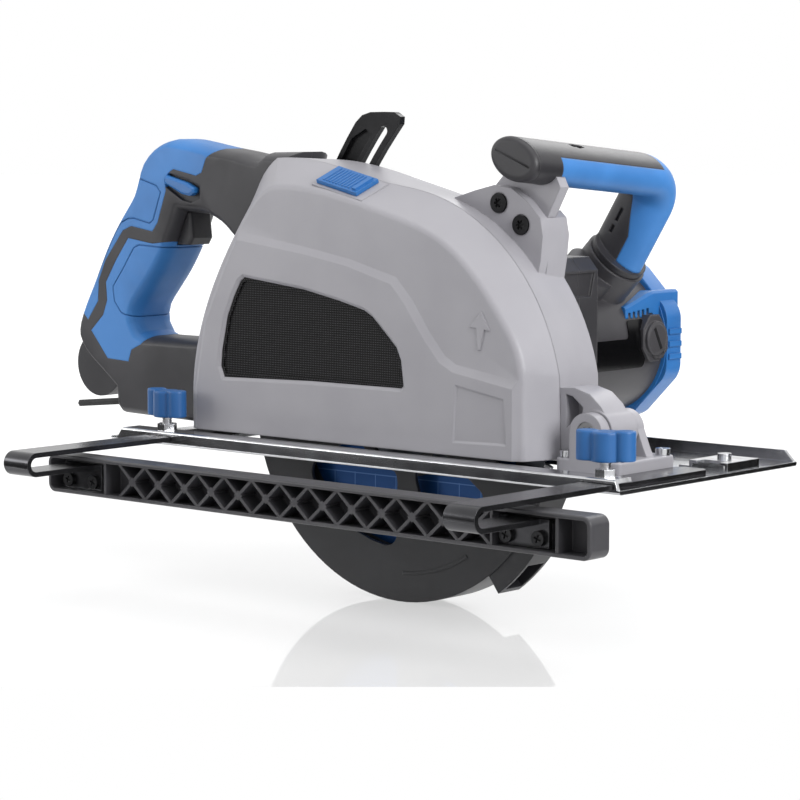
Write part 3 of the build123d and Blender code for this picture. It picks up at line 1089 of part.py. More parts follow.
def handle_post():
    p = plate(POST, *POST_Y) - bar(BAR_SEC)
    p = p - shell_loft(SEAM_OUT, SEAM_Y, FAR_OUT, CASE_Y) - plate(EAR_RIM, EAR_PLATE_Y[1], CASE_Y)
    for c in HANDLE_BOLTS:
        p = p - cyl(c, 2.5, POST_Y[0] - 1, POST_Y[1] + 1)
    return one(p)


def handle_screw(c):
    y0 = EAR_PLATE_Y[0] - 1.2
    s = cyl(c, 5.8, y0, EAR_PLATE_Y[0] + 0.6) + cyl(c, 2.5, EAR_PLATE_Y[0], POST_Y[1] - 0.5)
    for k in range(3):
        dx, dz = 2.9 * math.cos(k * math.pi / 3), 2.9 * math.sin(k * math.pi / 3)
        w = 0.75
        nx, nz = -dz / 2.9 * w, dx / 2.9 * w
        s = s - plate([(c[0] + dx + nx, c[1] + dz + nz), (c[0] - dx + nx, c[1] - dz + nz),
                       (c[0] - dx - nx, c[1] - dz - nz), (c[0] + dx - nx, c[1] + dz - nz)],
                      y0 - 1, y0 + 1.4)
    return one(s)


# ================================================================ rear handle
RX, RZ = SEAM_BACK[5][0] + 104.0, SEAM_BACK[5][1] - 170.0     # the handle follows the guard's back


def back(pts):
    return [(x + RX, z + RZ) for x, z in pts]


def smooth(pts, sharp, step=6.0):
    """Closed curve through the points; corners named in sharp stay corners."""
    out = []
    n = len(pts)
    for i in range(n):
        p1, p2 = pts[i], pts[(i + 1) % n]
        p0 = p1 if p1 in sharp else pts[i - 1]
        p3 = p2 if p2 in sharp else pts[(i + 2) % n]
        k = 1 if p1 in sharp and p2 in sharp else max(1, round(math.dist(p1, p2) / step))
        for j in range(k):
            t = j / k
            q = tuple(0.5 * (2 * b + (c - a) * t + (2 * a - 5 * b + 4 * c - d) * t * t
                             + (3 * b - a - 3 * c + d) * t ** 3) for a, b, c, d in zip(p0, p1, p2, p3))
            if j == 0 or min(math.dist(q, e) for e in sharp) > 9.0:
                out.append(q)
    return out


HEEL = [(-254, 25), (-253, 13), (-248, 8), (-150, 6), (-138, 20), (-140, 62)]
NOTCH = [(-190, 144), (-168, 143)]
ROOT = [(-128, 116), (-100, 150), (-88, 184), (-114, 183.5)]
REAR = smooth([(-88, 184), (-114, 183.5), (-121, 179.5), (-139, 183), (-161, 186), (-193, 191),
               (-205, 190.5), (-216, 186), (-226, 177), (-231, 166), (-235, 156), (-242, 147),
               (-251, 136), (-260, 123), (-268, 109), (-275, 96), (-283, 82), (-289, 69), (-290, 58),
               (-283, 47), (-273, 39), (-262, 31)] + HEEL + [
               (-223, 61.5), (-230, 64), (-234, 70), (-233, 79), (-224, 90), (-213, 103), (-204, 116),
               (-198, 127)] + NOTCH + [(-154, 137), (-146, 131)] + ROOT[:2],
              HEEL + NOTCH + ROOT)
REAR = back(REAR)
SKIN = 3.0
UPPER_SKIN = back([(-157, 198), (-157, 185), (-164, 179), (-168, 170), (-173, 168), (-194, 172),
                   (-199, 169), (-202, 165), (-201, 158), (-209, 137), (-214, 131), (-234, 134),
                   (-242, 131), (-259, 111), (-266, 97), (-267, 83), (-277, 70), (-281, 74),
                   (-300, 74), (-300, 198)])
LOWER_SKIN = back([(-237, 126), (-214, 123), (-201, 124.5), (-190, 124), (-186, 64), (-222, 61.4),
                   (-226, 56), (-235, 52), (-238, 44), (-258, 45), (-274, 63), (-262, 74), (-258, 84),
                   (-259, 96), (-249, 111)])
# fine parting lines round the thumb pad and the palm pad
PADS = [back([(-240, 169.5), (-224.5, 165), (-209.9, 161.1), (-206, 156.6), (-213.0, 138.6),
              (-216.6, 136.3), (-231.5, 139.2), (-237, 138.8), (-243.6, 136.1), (-248.5, 131),
              (-268.5, 99), (-280, 96)]),
        back([(-186, 119.6), (-193.3, 120.2), (-227, 121.7), (-231.8, 119.7), (-243, 104.7),
              (-252.2, 93.3), (-250.9, 83.5), (-244.5, 76.3), (-234.8, 73.5), (-226, 78)])]
BEVEL = [(HANDLE_Y0, 6.0), (HANDLE_Y0 + 1.0, 4.2), (HANDLE_Y0 + 3.2, 2.4), (HANDLE_Y0 + 7.0, 0.9),
         (HANDLE_Y0 + 12.0, 0.0), (HANDLE_Y1 - 12.0, 0.0), (HANDLE_Y1 - 7.0, 0.9),
         (HANDLE_Y1 - 3.2, 2.4), (HANDLE_Y1 - 1.0, 4.2), (HANDLE_Y1, 6.0)]
TRIG = back([(-219, 149), (-206, 149), (-189, 144), (-187, 127), (-190, 122.5), (-211, 123),
             (-219, 135)])
TRIG_Y, TRIG_TRAVEL = (-2.0, 18.0), 6.0
LOCK = back([(-199, 168), (-180, 163.5), (-172.5, 160), (-173, 157), (-177, 155), (-184, 156),
             (-200.5, 163)])
LOCK_Y, LOCK_PIV = (-15.0, -9.5), back([(-197.0, 165.4)])[0]
KEY_P, KEY_Q, KEY_AF = (-293.0 + RX, -5.0, 12.0 + RZ), (-192.0 + RX, -5.0, 22.3 + RZ), 4.4


def poly_loft(a, ya, b, yb):
    """Straight-sided step between two outlines with the same corners."""
    return Solid.make_loft([Wire.make_polygon([(x, y, z) for x, z in q], close=True)
                            for q, y in ((a, ya), (b, yb))], ruled=True)


def pill(pts, levels, grow=0.0):
    """Ruled body whose outline shrinks toward both faces for rounded flanks."""
    return Solid.make_loft([Wire.make_polygon([(x, y, z) for x, z in inset(pts, d + grow)], close=True)
                            for y, d in levels], ruled=True)


def inner_pill(t):
    """The handle's form set back by t all round."""
    return pill(REAR, [(y + (t if y < HANDLE_MID else -t) * (1 if d > 0 else 0), d) for y, d in BEVEL], t)


def ribbon(pts, w):
    """Narrow band of width w along an open line."""
    side = []
    for s in (1, -1):
        row = []
        for i, q in enumerate(pts):
            a, b = pts[max(i - 1, 0)], pts[min(i + 1, len(pts) - 1)]
            n = math.dist(a, b)
            row.append((q[0] - s * (b[1] - a[1]) / n * w / 2, q[1] + s * (b[0] - a[0]) / n * w / 2))
        side.append(row)
    return side[0] + side[1][::-1]


def rear_handle():
    """Returns left shell, right shell, upper skin, lower skin."""
    full = pill(REAR, BEVEL)
    head = shell_loft(SEAM_OUT, SEAM_Y, FAR_OUT, CASE_Y)
    full = full - head
    full = full - (cyl(PIV, QUAD_R1 + 3.0, CASE_Y + 0.9, 60) & box(-200, 200, 0, 60, 60, 300))
    full = full - box(PIV[0] - QUAD_R1 - 8.0, 0, CASE_Y, 60, 0, 100)
    inner = inner_pill(SKIN)
    pocket = None
    for k in (0, 0.5, 1):
        c = plate([(x - TRIG_TRAVEL * k, z) for x, z in inset(TRIG, -0.45)], TRIG_Y[0] - 0.4,
                  TRIG_Y[1] + 0.4)
        pocket = c if pocket is None else pocket + c
    line = (plate(ribbon(PADS[0], 0.7), -30, 50) + plate(ribbon(PADS[1], 0.7), -30, 50)) - inner_pill(0.8)
    skins = []
    for reg in (UPPER_SKIN, LOWER_SKIN):
        skins.append(one((full & plate(reg, -30, 50)) - inner - pocket))
    body = full - skins[0] - skins[1]
    cav = plate(inset(REAR, 8.0), HANDLE_Y0 + 4.0, HANDLE_Y1 - 4.0)
    keep = box(-262 + RX, -180 + RX, HANDLE_Y0, 0.0, 0, 30 + RZ)
    for c in REAR_BOSSES:
        keep = keep + cyl(c, 5.5, -20, 40)
    body = body - (cav - keep)
    lobe = cyl(LOBE, LOBE_R, HANDLE_MID + 2.0, HANDLE_Y1 - 1.0)
    body = body + (lobe - pill(REAR, BEVEL))
    # pockets: trigger with its travel, lock-off lever, tool bore, gland
    body = body - pocket
    body = body - plate(back([(-202.5, 170.5), (-180, 165.6), (-169.5, 161.5), (-169.5, 153),
                              (-178, 150.5), (-186, 152), (-203.5, 161.5)]), -20, LOCK_Y[1] + 0.3)
    body = body - cyl(LOCK_PIV, 2.0, -12, -2)
    body = body - rod((KEY_P[0] - 7, KEY_P[1], KEY_P[2] - 0.71), KEY_Q, KEY_AF / 1.732 + 0.06)
    body = body - rod((LOBE[0], 20, LOBE[1]), (LOBE[0], 40, LOBE[1]), 7.0)
    for c in REAR_BOSSES:
        body = body - cyl(c, 1.9, HANDLE_Y0 + 5, 60) - cyl(c, 3.8, HANDLE_Y1 - 3.4, 60)
    left = body & box(-400, 0, -40, HANDLE_MID, -50, 300)
    right = body & box(-400, 0, HANDLE_MID, 60, -50, 300)
    return one(left), one(right), one(skins[0] - line), one(skins[1] - line)


REAR_BOSSES = back([(-150.0, 160.0), (-113.0, 168.0), (-166.0, 40.0), (-236.0, 34.0)])
LOBE, LOBE_R = (-290.0 + RX, 38.0 + RZ), 22.0


def rear_screw(c):
    s = cyl(c, 1.9, HANDLE_Y0 + 5, HANDLE_Y1 - 3.4) + cyl(c, 3.6, HANDLE_Y1 - 3.4, HANDLE_Y1 - 0.8)
    return one(s - hexagon(c, 2.6, HANDLE_Y1 - 2.2, HANDLE_Y1 + 1))


def trigger():
    t = plate(TRIG, *TRIG_Y)
    t = t.fillet(2.4, [e for e in t.edges() if abs(e.center().Y - HANDLE_MID) > 9.9
                       and e.center().X > TRIG[0][0] + 18 and e.center().Z > TRIG[4][1] + 1])
    t = t - rod((TRIG[0][0] - 3, HANDLE_MID, 140 + RZ), (TRIG[0][0] + 8, HANDLE_MID, 140 + RZ), 3.3)
    return one(t)


SWITCH = (-250.0 + RX, -226.2 + RX, -5.0, 21.0, 118.0 + RZ, 154.0 + RZ)


def switch_body():
    return one(box(*SWITCH) & plate(inset(REAR, 8.0), SWITCH[2], SWITCH[3]))


def lock_off():
    k = plate(LOCK, *LOCK_Y)
    k = k.chamfer(1.4, None, [e for e in k.edges() if e.center().Y < LOCK_Y[0] + 0.01])
    return one(k + cyl(LOCK_PIV, 1.95, LOCK_Y[1] - 1, -3))


def hex_key():
    d = (Vector(*KEY_Q) - Vector(*KEY_P)).normalized()
    pl = Plane(origin=KEY_P, x_dir=Vector(0, 1, 0), z_dir=d)
    ln = (Vector(*KEY_Q) - Vector(*KEY_P)).length - 1.0
    return one(extrude(pl * RegularPolygon(KEY_AF / 1.7320508, 6), ln))


def gland():
    g = rod((LOBE[0], 22, LOBE[1]), (LOBE[0], 34, LOBE[1]), 6.9)
    g = g + rod((LOBE[0], HANDLE_Y1 - 1.0, LOBE[1]), (LOBE[0], 30.5, LOBE[1]), 10)
    return one(g - rod((LOBE[0], 24, LOBE[1]), (LOBE[0], 50, LOBE[1]), 4.2))


# ================================================================ write every sub-component
def group(shapes):
    """Several separate solids kept as one sub-component."""
    out = []
    for s in shapes:
        out += list(s.solids())
    return Compound(children=out)


ENDS = (("rear", ARM_X[0]), ("front", ARM_X[1]))
casting_body = casting()
fh_core, fh_grip, fh_cap = front_handle()
rh_left, rh_right, rh_upper, rh_lower = rear_handle()

# fixed to the sole
save(base_plate(), "base_plate")
save(front_bracket(), "front_bracket")
save(group([pivot_pin(), pivot_clip()]), "pivot_pin")
save(depth_quadrant(), "depth_quadrant")
save(group([cap_screw(x, y, SLAB_Z, 0.6) for x, y in BRACKET_SCREWS]
           + [cap_screw(x, QUAD_FOOT_Y, SHEET + 3, 0.6) for x in QUAD_FOOT_X]), "base_screws")
for end, x in ENDS:
    save(arm_bridge(x, x > 0), "arm_bridge_" + end)
save(group([bridge_screw(x) for x in ARM_X]), "bridge_screws")

# edge guide
for end, x in ENDS:
    save(arm(x), "fence_arm_" + end)
save(fence_bar(), "fence_bar")
save(group([fence_screw(x, s) for x in ARM_X for s in (-11, 11)]), "fence_screws")
for (end, x), turn in zip(ENDS, (-10.0, 19.0)):
    save(wing_knob(x, turn), "wing_knob_" + end)
    save(knob_stud(x), "knob_stud_" + end)

# swinging head
housing = motor_housing()
save(casting_body, "upper_guard")
save(group([bearing(ARB, BEARING_R, SPIN_R + RUN, *BEARING_Y),
            bearing(MOT, 13.0, ARM_SEC[1][0] + RUN, BACK[0] - 4.4, BACK[1] - 1.4),
            bearing(MOT, 9.5, ARM_SEC[4][0] + RUN, CAP_Y1 - 14.0, CAP_Y1 - 7.0),
            tube(ARB, BEARING_R, 12.5, BEARING_Y[1], BEARING_Y[1] + 1.2), guard_ring(),
            spindle_bush(), lay_bushes()]), "bearings")
save(gear_case(), "gear_case")
save(housing, "motor_housing")
save(group([stator(), field_coils()]), "stator")
save(end_cap(), "motor_end_cap")
save(vent_cover(housing), "vent_cover")
save(motor_label(housing), "motor_label")
save(group([brush_cap(1), brush_cap(-1)]), "brush_caps")
save(group([b for s in (1, -1) for b in brush_parts(s)]), "brushes")
save(handle_post(), "handle_post")
save(fh_core, "handle_core")
save(fh_grip, "handle_grip")
save(fh_cap, "handle_end_cap")
save(group([handle_screw(c) for c in HANDLE_BOLTS]), "handle_screws")
save(rh_left, "rear_shell_left")
save(rh_right, "rear_shell_right")
save(rh_upper, "rear_grip_upper")
save(rh_lower, "rear_grip_lower")
save(group([rear_screw(c) for c in REAR_BOSSES]), "rear_screws")
save(switch_body(), "switch_body")
save(gland(), "cable_gland")
save(group([depth_bolt(), depth_washer()]), "depth_bolt")

# moving pieces of the head
save(depth_lever(), "depth_lever")
save(debris_box(), "debris_cover")
save(window_panel(), "window_panel")
save(latch(), "cover_latch")
save(trigger(), "trigger")
save(lock_off(), "lock_off")
save(hex_key(), "hex_key")
save(spindle_lock(), "spindle_lock")
save(lower_guard(), "lower_guard")
save(guard_spring(), "guard_spring")

# drive train
save(spindle(), "spindle")
save(inner_flange(), "inner_flange")
save(outer_flange(), "outer_flange")
save(arbor_bolt(), "arbor_bolt")
save(blade(), "blade")
save(output_gear(), "output_gear")
save(lay_shaft(), "lay_shaft")
save(lay_gear(), "lay_gear")
save(armature_shaft(), "armature_shaft")
save(group([armature_core(), armature_windings(), commutator()]), "armature_core")
save(fan(), "fan")
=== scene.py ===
import math

import bmesh
import bpy
from mathutils import Matrix, Vector


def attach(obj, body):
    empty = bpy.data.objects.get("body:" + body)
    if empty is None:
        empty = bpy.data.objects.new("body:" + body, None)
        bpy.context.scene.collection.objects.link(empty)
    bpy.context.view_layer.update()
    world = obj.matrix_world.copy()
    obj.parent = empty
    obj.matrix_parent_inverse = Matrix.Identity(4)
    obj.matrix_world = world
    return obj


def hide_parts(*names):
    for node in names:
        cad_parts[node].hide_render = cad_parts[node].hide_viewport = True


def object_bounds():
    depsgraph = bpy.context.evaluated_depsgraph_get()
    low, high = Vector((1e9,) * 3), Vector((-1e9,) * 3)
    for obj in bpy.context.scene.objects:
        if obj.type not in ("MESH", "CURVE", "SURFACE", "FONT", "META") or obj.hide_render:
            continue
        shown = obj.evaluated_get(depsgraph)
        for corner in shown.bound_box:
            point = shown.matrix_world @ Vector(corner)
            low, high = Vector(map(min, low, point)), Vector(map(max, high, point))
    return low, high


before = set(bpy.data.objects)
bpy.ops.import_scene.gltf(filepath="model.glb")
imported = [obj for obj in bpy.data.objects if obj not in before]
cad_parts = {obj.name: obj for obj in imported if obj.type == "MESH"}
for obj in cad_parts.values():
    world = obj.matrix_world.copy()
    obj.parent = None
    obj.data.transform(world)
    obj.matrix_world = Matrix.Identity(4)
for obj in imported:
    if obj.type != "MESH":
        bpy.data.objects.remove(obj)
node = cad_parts
cad_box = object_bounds()

ARBOR_Z = 0.031
MOTOR_X, MOTOR_Z = 0.027, 0.063

# ---------------------------------------------------------------- grey castings
# The fixed guard, its hinge bracket and the handle post are die-cast alloy under a satin grey
# stove paint, so they share one finish: a faint orange peel and a cloudy, slightly uneven tone.


def material(name, color, roughness, metallic=0.0, coat=0.0, shine=0.5):
    m = bpy.data.materials.new(name)
    m.use_nodes = True
    s = m.node_tree.nodes["Principled BSDF"]
    s.inputs["Base Color"].default_value = (*color, 1)
    s.inputs["Roughness"].default_value = roughness
    s.inputs["Metallic"].default_value = metallic
    s.inputs["Coat Weight"].default_value = coat
    s.inputs["Coat Roughness"].default_value = 0.15
    s.inputs["Specular IOR Level"].default_value = shine
    return m


def link(m, a, b):
    m.node_tree.links.new(a, b)


def add(m, kind, operation="", sockets=()):
    """A new shader node; sockets gives plain values to its inputs by name or number."""
    n = m.node_tree.nodes.new("ShaderNode" + kind)
    if operation:
        n.operation = operation
    for name, value in dict(sockets).items():
        n.inputs[name].default_value = value
    return n


def object_noise(m, scale, detail=3.0, stretch=(1, 1, 1)):
    co = add(m, "TexCoord")
    mp = add(m, "Mapping", sockets={"Scale": stretch})
    n = add(m, "TexNoise", sockets={"Scale": scale, "Detail": detail})
    link(m, co.outputs["Object"], mp.inputs["Vector"])
    link(m, mp.outputs["Vector"], n.inputs["Vector"])
    return n


def two_tone(m, fac, dark, light, lo=0.35, hi=0.65):
    """Colour runs from dark to light with the given pattern."""
    r = add(m, "ValToRGB")
    r.color_ramp.elements[0].position = lo
    r.color_ramp.elements[1].position = hi
    r.color_ramp.elements[0].color = (*dark, 1)
    r.color_ramp.elements[1].color = (*light, 1)
    link(m, fac, r.inputs["Fac"])
    link(m, r.outputs["Color"], m.node_tree.nodes["Principled BSDF"].inputs["Base Color"])


def rough_range(m, fac, lo, hi):
    r = add(m, "MapRange", sockets={"To Min": lo, "To Max": hi})
    link(m, fac, r.inputs["Value"])
    link(m, r.outputs["Result"], m.node_tree.nodes["Principled BSDF"].inputs["Roughness"])


def bump(m, height, strength, distance, edge=0.0):
    """Surface relief, over edges that the shader rounds off by the given radius."""
    b = add(m, "Bump", sockets={"Strength": strength, "Distance": distance})
    link(m, height, b.inputs["Height"])
    if edge:
        e = add(m, "Bevel", sockets={"Radius": edge})
        e.samples = 4
        link(m, e.outputs["Normal"], b.inputs["Normal"])
    link(m, b.outputs["Normal"], m.node_tree.nodes["Principled BSDF"].inputs["Normal"])


def paint(name, dark, light, roughness, grain, edge, coat=0.0, metallic=0.0, shine=0.5):
    """Paint or moulded skin with a cloudy tone, uneven gloss and a fine relief."""
    m = material(name, light, roughness, metallic, coat, shine)
    cloud = object_noise(m, 22.0)
    two_tone(m, cloud.outputs["Fac"], dark, light)
    fine = object_noise(m, grain, 2.0)
    rough_range(m, cloud.outputs["Fac"], roughness - 0.05, roughness + 0.05)
    bump(m, fine.outputs["Fac"], 0.18, 0.0002, edge)
    return m


def dress(m, *names, crease=34):
    """A CAD piece keeps its shape and takes this finish, smooth-shaded between real edges."""
    for n in names:
        o = node[n]
        o.data.materials.clear()
        o.data.materials.append(m)
        for p in o.data.polygons:
            p.use_smooth = True
        weld = o.modifiers.new("weld", "WELD")
        weld.merge_threshold = 0.000002
        split = o.modifiers.new("edges", "EDGE_SPLIT")
        split.split_angle = math.radians(crease)
        flat = o.modifiers.new("flat_faces", "WEIGHTED_NORMAL")
        flat.mode = "FACE_AREA"
        flat.weight = 80


casting_paint = paint("grey_stove_paint", (0.335, 0.328, 0.356), (0.368, 0.361, 0.389), 0.42, 900, 0.0012)
dress(casting_paint, "upper_guard", "front_bracket", "handle_post")

# ---------------------------------------------------------------- chip box
# Drafted shell beside the blade with a raised band, a window frame and a raised turning mark.
# It is painted to match the castings and lifts off on its foot hooks.
box_paint = paint("grey_box_paint", (0.342, 0.335, 0.363), (0.368, 0.361, 0.389), 0.45, 1100, 0.0010)
dress(box_paint, "debris_cover", crease=17)

# ---------------------------------------------------------------- window mesh
# A black moulded panel behind the window frame, pierced with rows of fine holes.
HOLE_PITCH = 0.0014
mesh_black = material("window_mesh", (0.012, 0.012, 0.014), 0.5, shine=0.2)
place = add(mesh_black, "TexCoord")
axes = add(mesh_black, "SeparateXYZ")
flat = add(mesh_black, "CombineXYZ")
holes = add(mesh_black, "TexVoronoi", sockets={"Scale": 1 / HOLE_PITCH, "Randomness": 0.0})
holes.voronoi_dimensions = "2D"
link(mesh_black, place.outputs["Object"], axes.inputs["Vector"])
link(mesh_black, axes.outputs["X"], flat.inputs["X"])
link(mesh_black, axes.outputs["Z"], flat.inputs["Y"])
link(mesh_black, flat.outputs["Vector"], holes.inputs["Vector"])
# Each hole is painted as a near-black dot, painted shade for the dark seen through it; the web between the
# holes keeps the panel's own dark grey.
two_tone(mesh_black, holes.outputs["Distance"], (0.001, 0.001, 0.001), (0.115, 0.112, 0.125), 0.50, 0.66)
bump(mesh_black, holes.outputs["Distance"], 0.7, 0.0005)
dress(mesh_black, "window_panel")

# ---------------------------------------------------------------- blue moulded pieces
# Latch, lock-off lever, motor end cap and its vented saddle are blue glass-filled nylon with a
# fine spark texture.
blue_nylon = paint("blue_nylon", (0.017, 0.125, 0.37), (0.024, 0.16, 0.45), 0.38, 1500, 0.0008)
dress(blue_nylon, "cover_latch", "lock_off", "motor_end_cap", "vent_cover")

# ---------------------------------------------------------------- end cap skirt
# The motor's blue end cap is eight-sided outside, with well rounded corners, round the turned
# face that carries the vents; it is moulded with the cap and screwed on from behind.
SKIRT_R, SKIRT_Y, SKIRT_LONG = 0.0538, 0.1605, 0.0168


def turned(bm, angle, axis, verts=None):
    bmesh.ops.rotate(bm, verts=bm.verts if verts is None else verts, matrix=Matrix.Rotation(angle, 3, axis))


def moved(bm, vec, verts=None):
    bmesh.ops.translate(bm, verts=bm.verts if verts is None else verts, vec=vec)


def thickened(bm, vec):
    """Every face is drawn out along vec."""
    wall = bmesh.ops.extrude_face_region(bm, geom=bm.faces[:])
    moved(bm, vec, [g for g in wall["geom"] if isinstance(g, bmesh.types.BMVert)])


def rounded(bm, geom, offset, segments, affect="EDGES"):
    bmesh.ops.bevel(bm, geom=geom, offset=offset, segments=segments, profile=0.5, affect=affect, material=-1)


def piece(name, bm, m):
    """The finished mesh becomes a piece of the scene, already in its place."""
    mesh = bpy.data.meshes.new(name)
    bm.to_mesh(mesh)
    bm.free()
    o = bpy.data.objects.new(name, mesh)
    bpy.context.scene.collection.objects.link(o)
    o.data.materials.append(m)
    return o


bm = bmesh.new()
bmesh.ops.create_circle(bm, cap_ends=True, segments=8, radius=SKIRT_R)
turned(bm, math.pi / 8, "Z")
rounded(bm, bm.verts[:], 0.006, 6, "VERTICES")
thickened(bm, (0, 0, SKIRT_LONG))
rounded(bm, [e for e in bm.edges if min(v.co.z for v in e.verts) > SKIRT_LONG / 2], 0.0022, 4)
turned(bm, -math.pi / 2, "X")
moved(bm, (MOTOR_X, SKIRT_Y, MOTOR_Z))
bmesh.ops.recalc_face_normals(bm, faces=bm.faces[:])
skirt = piece("end_cap_skirt", bm, blue_nylon)
for p in skirt.data.polygons:
    p.use_smooth = True
skirt_split = skirt.modifiers.new("edges", "EDGE_SPLIT")
skirt_split.split_angle = math.radians(34)
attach(skirt, "head")

# ---------------------------------------------------------------- wing knobs
# Each knob is one blue moulding with a waisted hub and two thick wings; the tool leaves every
# edge generously rounded, so the hub flows into the wings. The blue is a little deeper here.


def moulded(m, name, grain, passes):
    """The CAD piece with its edges melted round, as an injection tool leaves them."""
    dress(m, name)
    o = node[name]
    o.modifiers.remove(o.modifiers["edges"])
    o.modifiers.remove(o.modifiers["flat_faces"])
    skin = o.modifiers.new("skin", "REMESH")
    skin.mode = "VOXEL"
    skin.voxel_size = grain
    skin.use_smooth_shade = True
    soft = o.modifiers.new("soft", "SMOOTH")
    soft.factor = 0.6
    soft.iterations = passes


knob_nylon = paint("knob_nylon", (0.012, 0.095, 0.29), (0.018, 0.125, 0.36), 0.40, 1500, 0.0008)
for knob in ("wing_knob_front", "wing_knob_rear"):
    moulded(knob_nylon, knob, 0.0004, 26)

# ---------------------------------------------------------------- soft grips
# Blue thermoplastic rubber is moulded over both handles; it is duller than the hard plastic and
# its edges are rounded where it meets the shells.
blue_soft = paint("blue_soft_grip", (0.032, 0.17, 0.46), (0.046, 0.215, 0.56), 0.50, 1300, 0.0015)
dress(blue_soft, "handle_grip", "rear_grip_upper", "rear_grip_lower")

# ---------------------------------------------------------------- black shells
# Rear handle shells, trigger, depth lever, lock button, switch, fan and cable gland are black
# nylon.
black_nylon = paint("black_nylon", (0.031, 0.0303, 0.034), (0.046, 0.045, 0.050), 0.46, 1600, 0.0012)
dress(black_nylon, "rear_shell_left", "rear_shell_right", "trigger", "depth_lever", "switch_body",
      "spindle_lock", "fan", "cable_gland")

# ---------------------------------------------------------------- charcoal shells
# Motor barrel, gear case and brush hatches are a warmer charcoal; the core and the end cap of the
# front handle take the charcoal painted nearly black, a painted shade for faces turned away from the key
# light.
charcoal = paint("charcoal_nylon", (0.034, 0.033, 0.037), (0.050, 0.048, 0.053), 0.43, 1400, 0.0015)
dress(charcoal, "motor_housing", "gear_case")
# A darker copy of the charcoal paint: painted shade on the front handle core and its end cap.
core_charcoal_shaded = paint("core_nylon_shaded", (0.018, 0.0175, 0.020), (0.028, 0.027, 0.031), 0.43, 1400, 0.0015)
dress(core_charcoal_shaded, "handle_core", "handle_end_cap")

# ---------------------------------------------------------------- brush hatches
# Each carbon brush sits under a round slotted cap in an eight-sided boss that is moulded on the
# barrel, one on either side of the motor.
HATCH_Y, HATCH_Z = 0.1475, 0.0665
BOSS = {"depth": 0.0085, "radius": 0.0160, "sides": 8, "out": 0.0455, "squash": 0.80}
CAP = {"depth": 0.0030, "radius": 0.0108, "sides": 40, "out": 0.0507, "squash": 1.0}
CAP_FACE = {"depth": 0.0012, "radius": 0.0092, "sides": 40, "out": 0.0518, "squash": 1.0}


def disc(bm, side, depth, radius, sides, out, squash):
    """A round or many-sided disc that faces out from the motor's side."""
    before = set(bm.verts)
    bmesh.ops.create_cone(bm, cap_ends=True, segments=sides, radius1=radius, radius2=radius, depth=depth)
    fresh = [v for v in bm.verts if v not in before]
    turned(bm, math.pi / sides, "Z", fresh)
    bmesh.ops.scale(bm, verts=fresh, vec=(1, squash, 1))
    turned(bm, math.pi / 2, "Y", fresh)
    moved(bm, (MOTOR_X + side * out, HATCH_Y, HATCH_Z), fresh)


bm = bmesh.new()
for side in (1, -1):
    for form in (BOSS, CAP, CAP_FACE):
        disc(bm, side, **form)
rims = [e for e in bm.edges if abs(e.verts[0].co.x - e.verts[1].co.x) < 1e-6 and len(e.link_faces) == 2]
rounded(bm, rims, 0.0005, 3)
hatches = piece("brush_hatches", bm, charcoal)
for side in (1, -1):
    # A thin near-black sheet laid across each cap face is painted shade standing in for the coin slot.
    bm = bmesh.new()
    bmesh.ops.create_cube(bm, size=1)
    bmesh.ops.scale(bm, verts=bm.verts, vec=(0.0006, 0.0022, 0.0150))
    turned(bm, math.radians(28), "X")
    moved(bm, (MOTOR_X + side * 0.0523, HATCH_Y, HATCH_Z))
    slot_shade_sheet = piece("brush_cap_slot_shade", bm, material("slot_shadow", (0.008, 0.008, 0.009), 0.6, shine=0.2))
    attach(slot_shade_sheet, "head")
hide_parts("brush_caps")
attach(hatches, "head")

# ---------------------------------------------------------------- data plate
# Gloss black film with rounded corners, wrapped on the motor barrel and bent up to the vent
# saddle; nothing is printed on it here.
PLATE_Y, PLATE_LONG, PLATE_WIDE = 0.1085, 0.065, 0.0190
STEP_Y, ARM_LONG, CORNER_R = 0.1235, 0.0118, 0.0028
SKIN_R, FILM = 0.0474, 0.0005
label_black = material("label_gloss", (0.003, 0.003, 0.0035), 0.22, shine=0.25)
bm = bmesh.new()
bmesh.ops.create_grid(bm, x_segments=1, y_segments=1, size=0.5)
bmesh.ops.scale(bm, verts=bm.verts, vec=(PLATE_LONG, PLATE_WIDE, 1))
moved(bm, (PLATE_Y, -0.0052, 0))
upper = max(bm.edges, key=lambda e: e.verts[0].co.y + e.verts[1].co.y)
bmesh.ops.subdivide_edges(bm, edges=[upper], cuts=1)
step = [v for v in bm.verts if len(v.link_edges) == 2 and abs(v.co.x - PLATE_Y) < 0.001]
step[0].co.x = STEP_Y
short = [e for e in bm.edges if min(v.co.y for v in e.verts) > 0.004 and sum(v.co.x for v in e.verts) > 0.25]
arm = bmesh.ops.extrude_edge_only(bm, edges=short)
moved(bm, (0, ARM_LONG, 0), [g for g in arm["geom"] if isinstance(g, bmesh.types.BMVert)])
bmesh.ops.dissolve_faces(bm, faces=bm.faces[:])
rounded(bm, [v for v in bm.verts if len(v.link_edges) == 2], CORNER_R, 5, "VERTICES")
for k in range(1, 48):
    bmesh.ops.bisect_plane(bm, geom=bm.verts[:] + bm.edges[:] + bm.faces[:],
                           plane_co=(0, -0.016 + 0.0008 * k, 0), plane_no=(0, 1, 0))
thickened(bm, (0, 0, FILM))
for v in bm.verts:
    a, r = v.co.y / SKIN_R, SKIN_R + v.co.z
    v.co = (MOTOR_X + r * math.cos(a), v.co.x, MOTOR_Z + r * math.sin(a))
bmesh.ops.recalc_face_normals(bm, faces=bm.faces[:])
label = piece("data_plate", bm, label_black)
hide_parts("motor_label")
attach(label, "head")

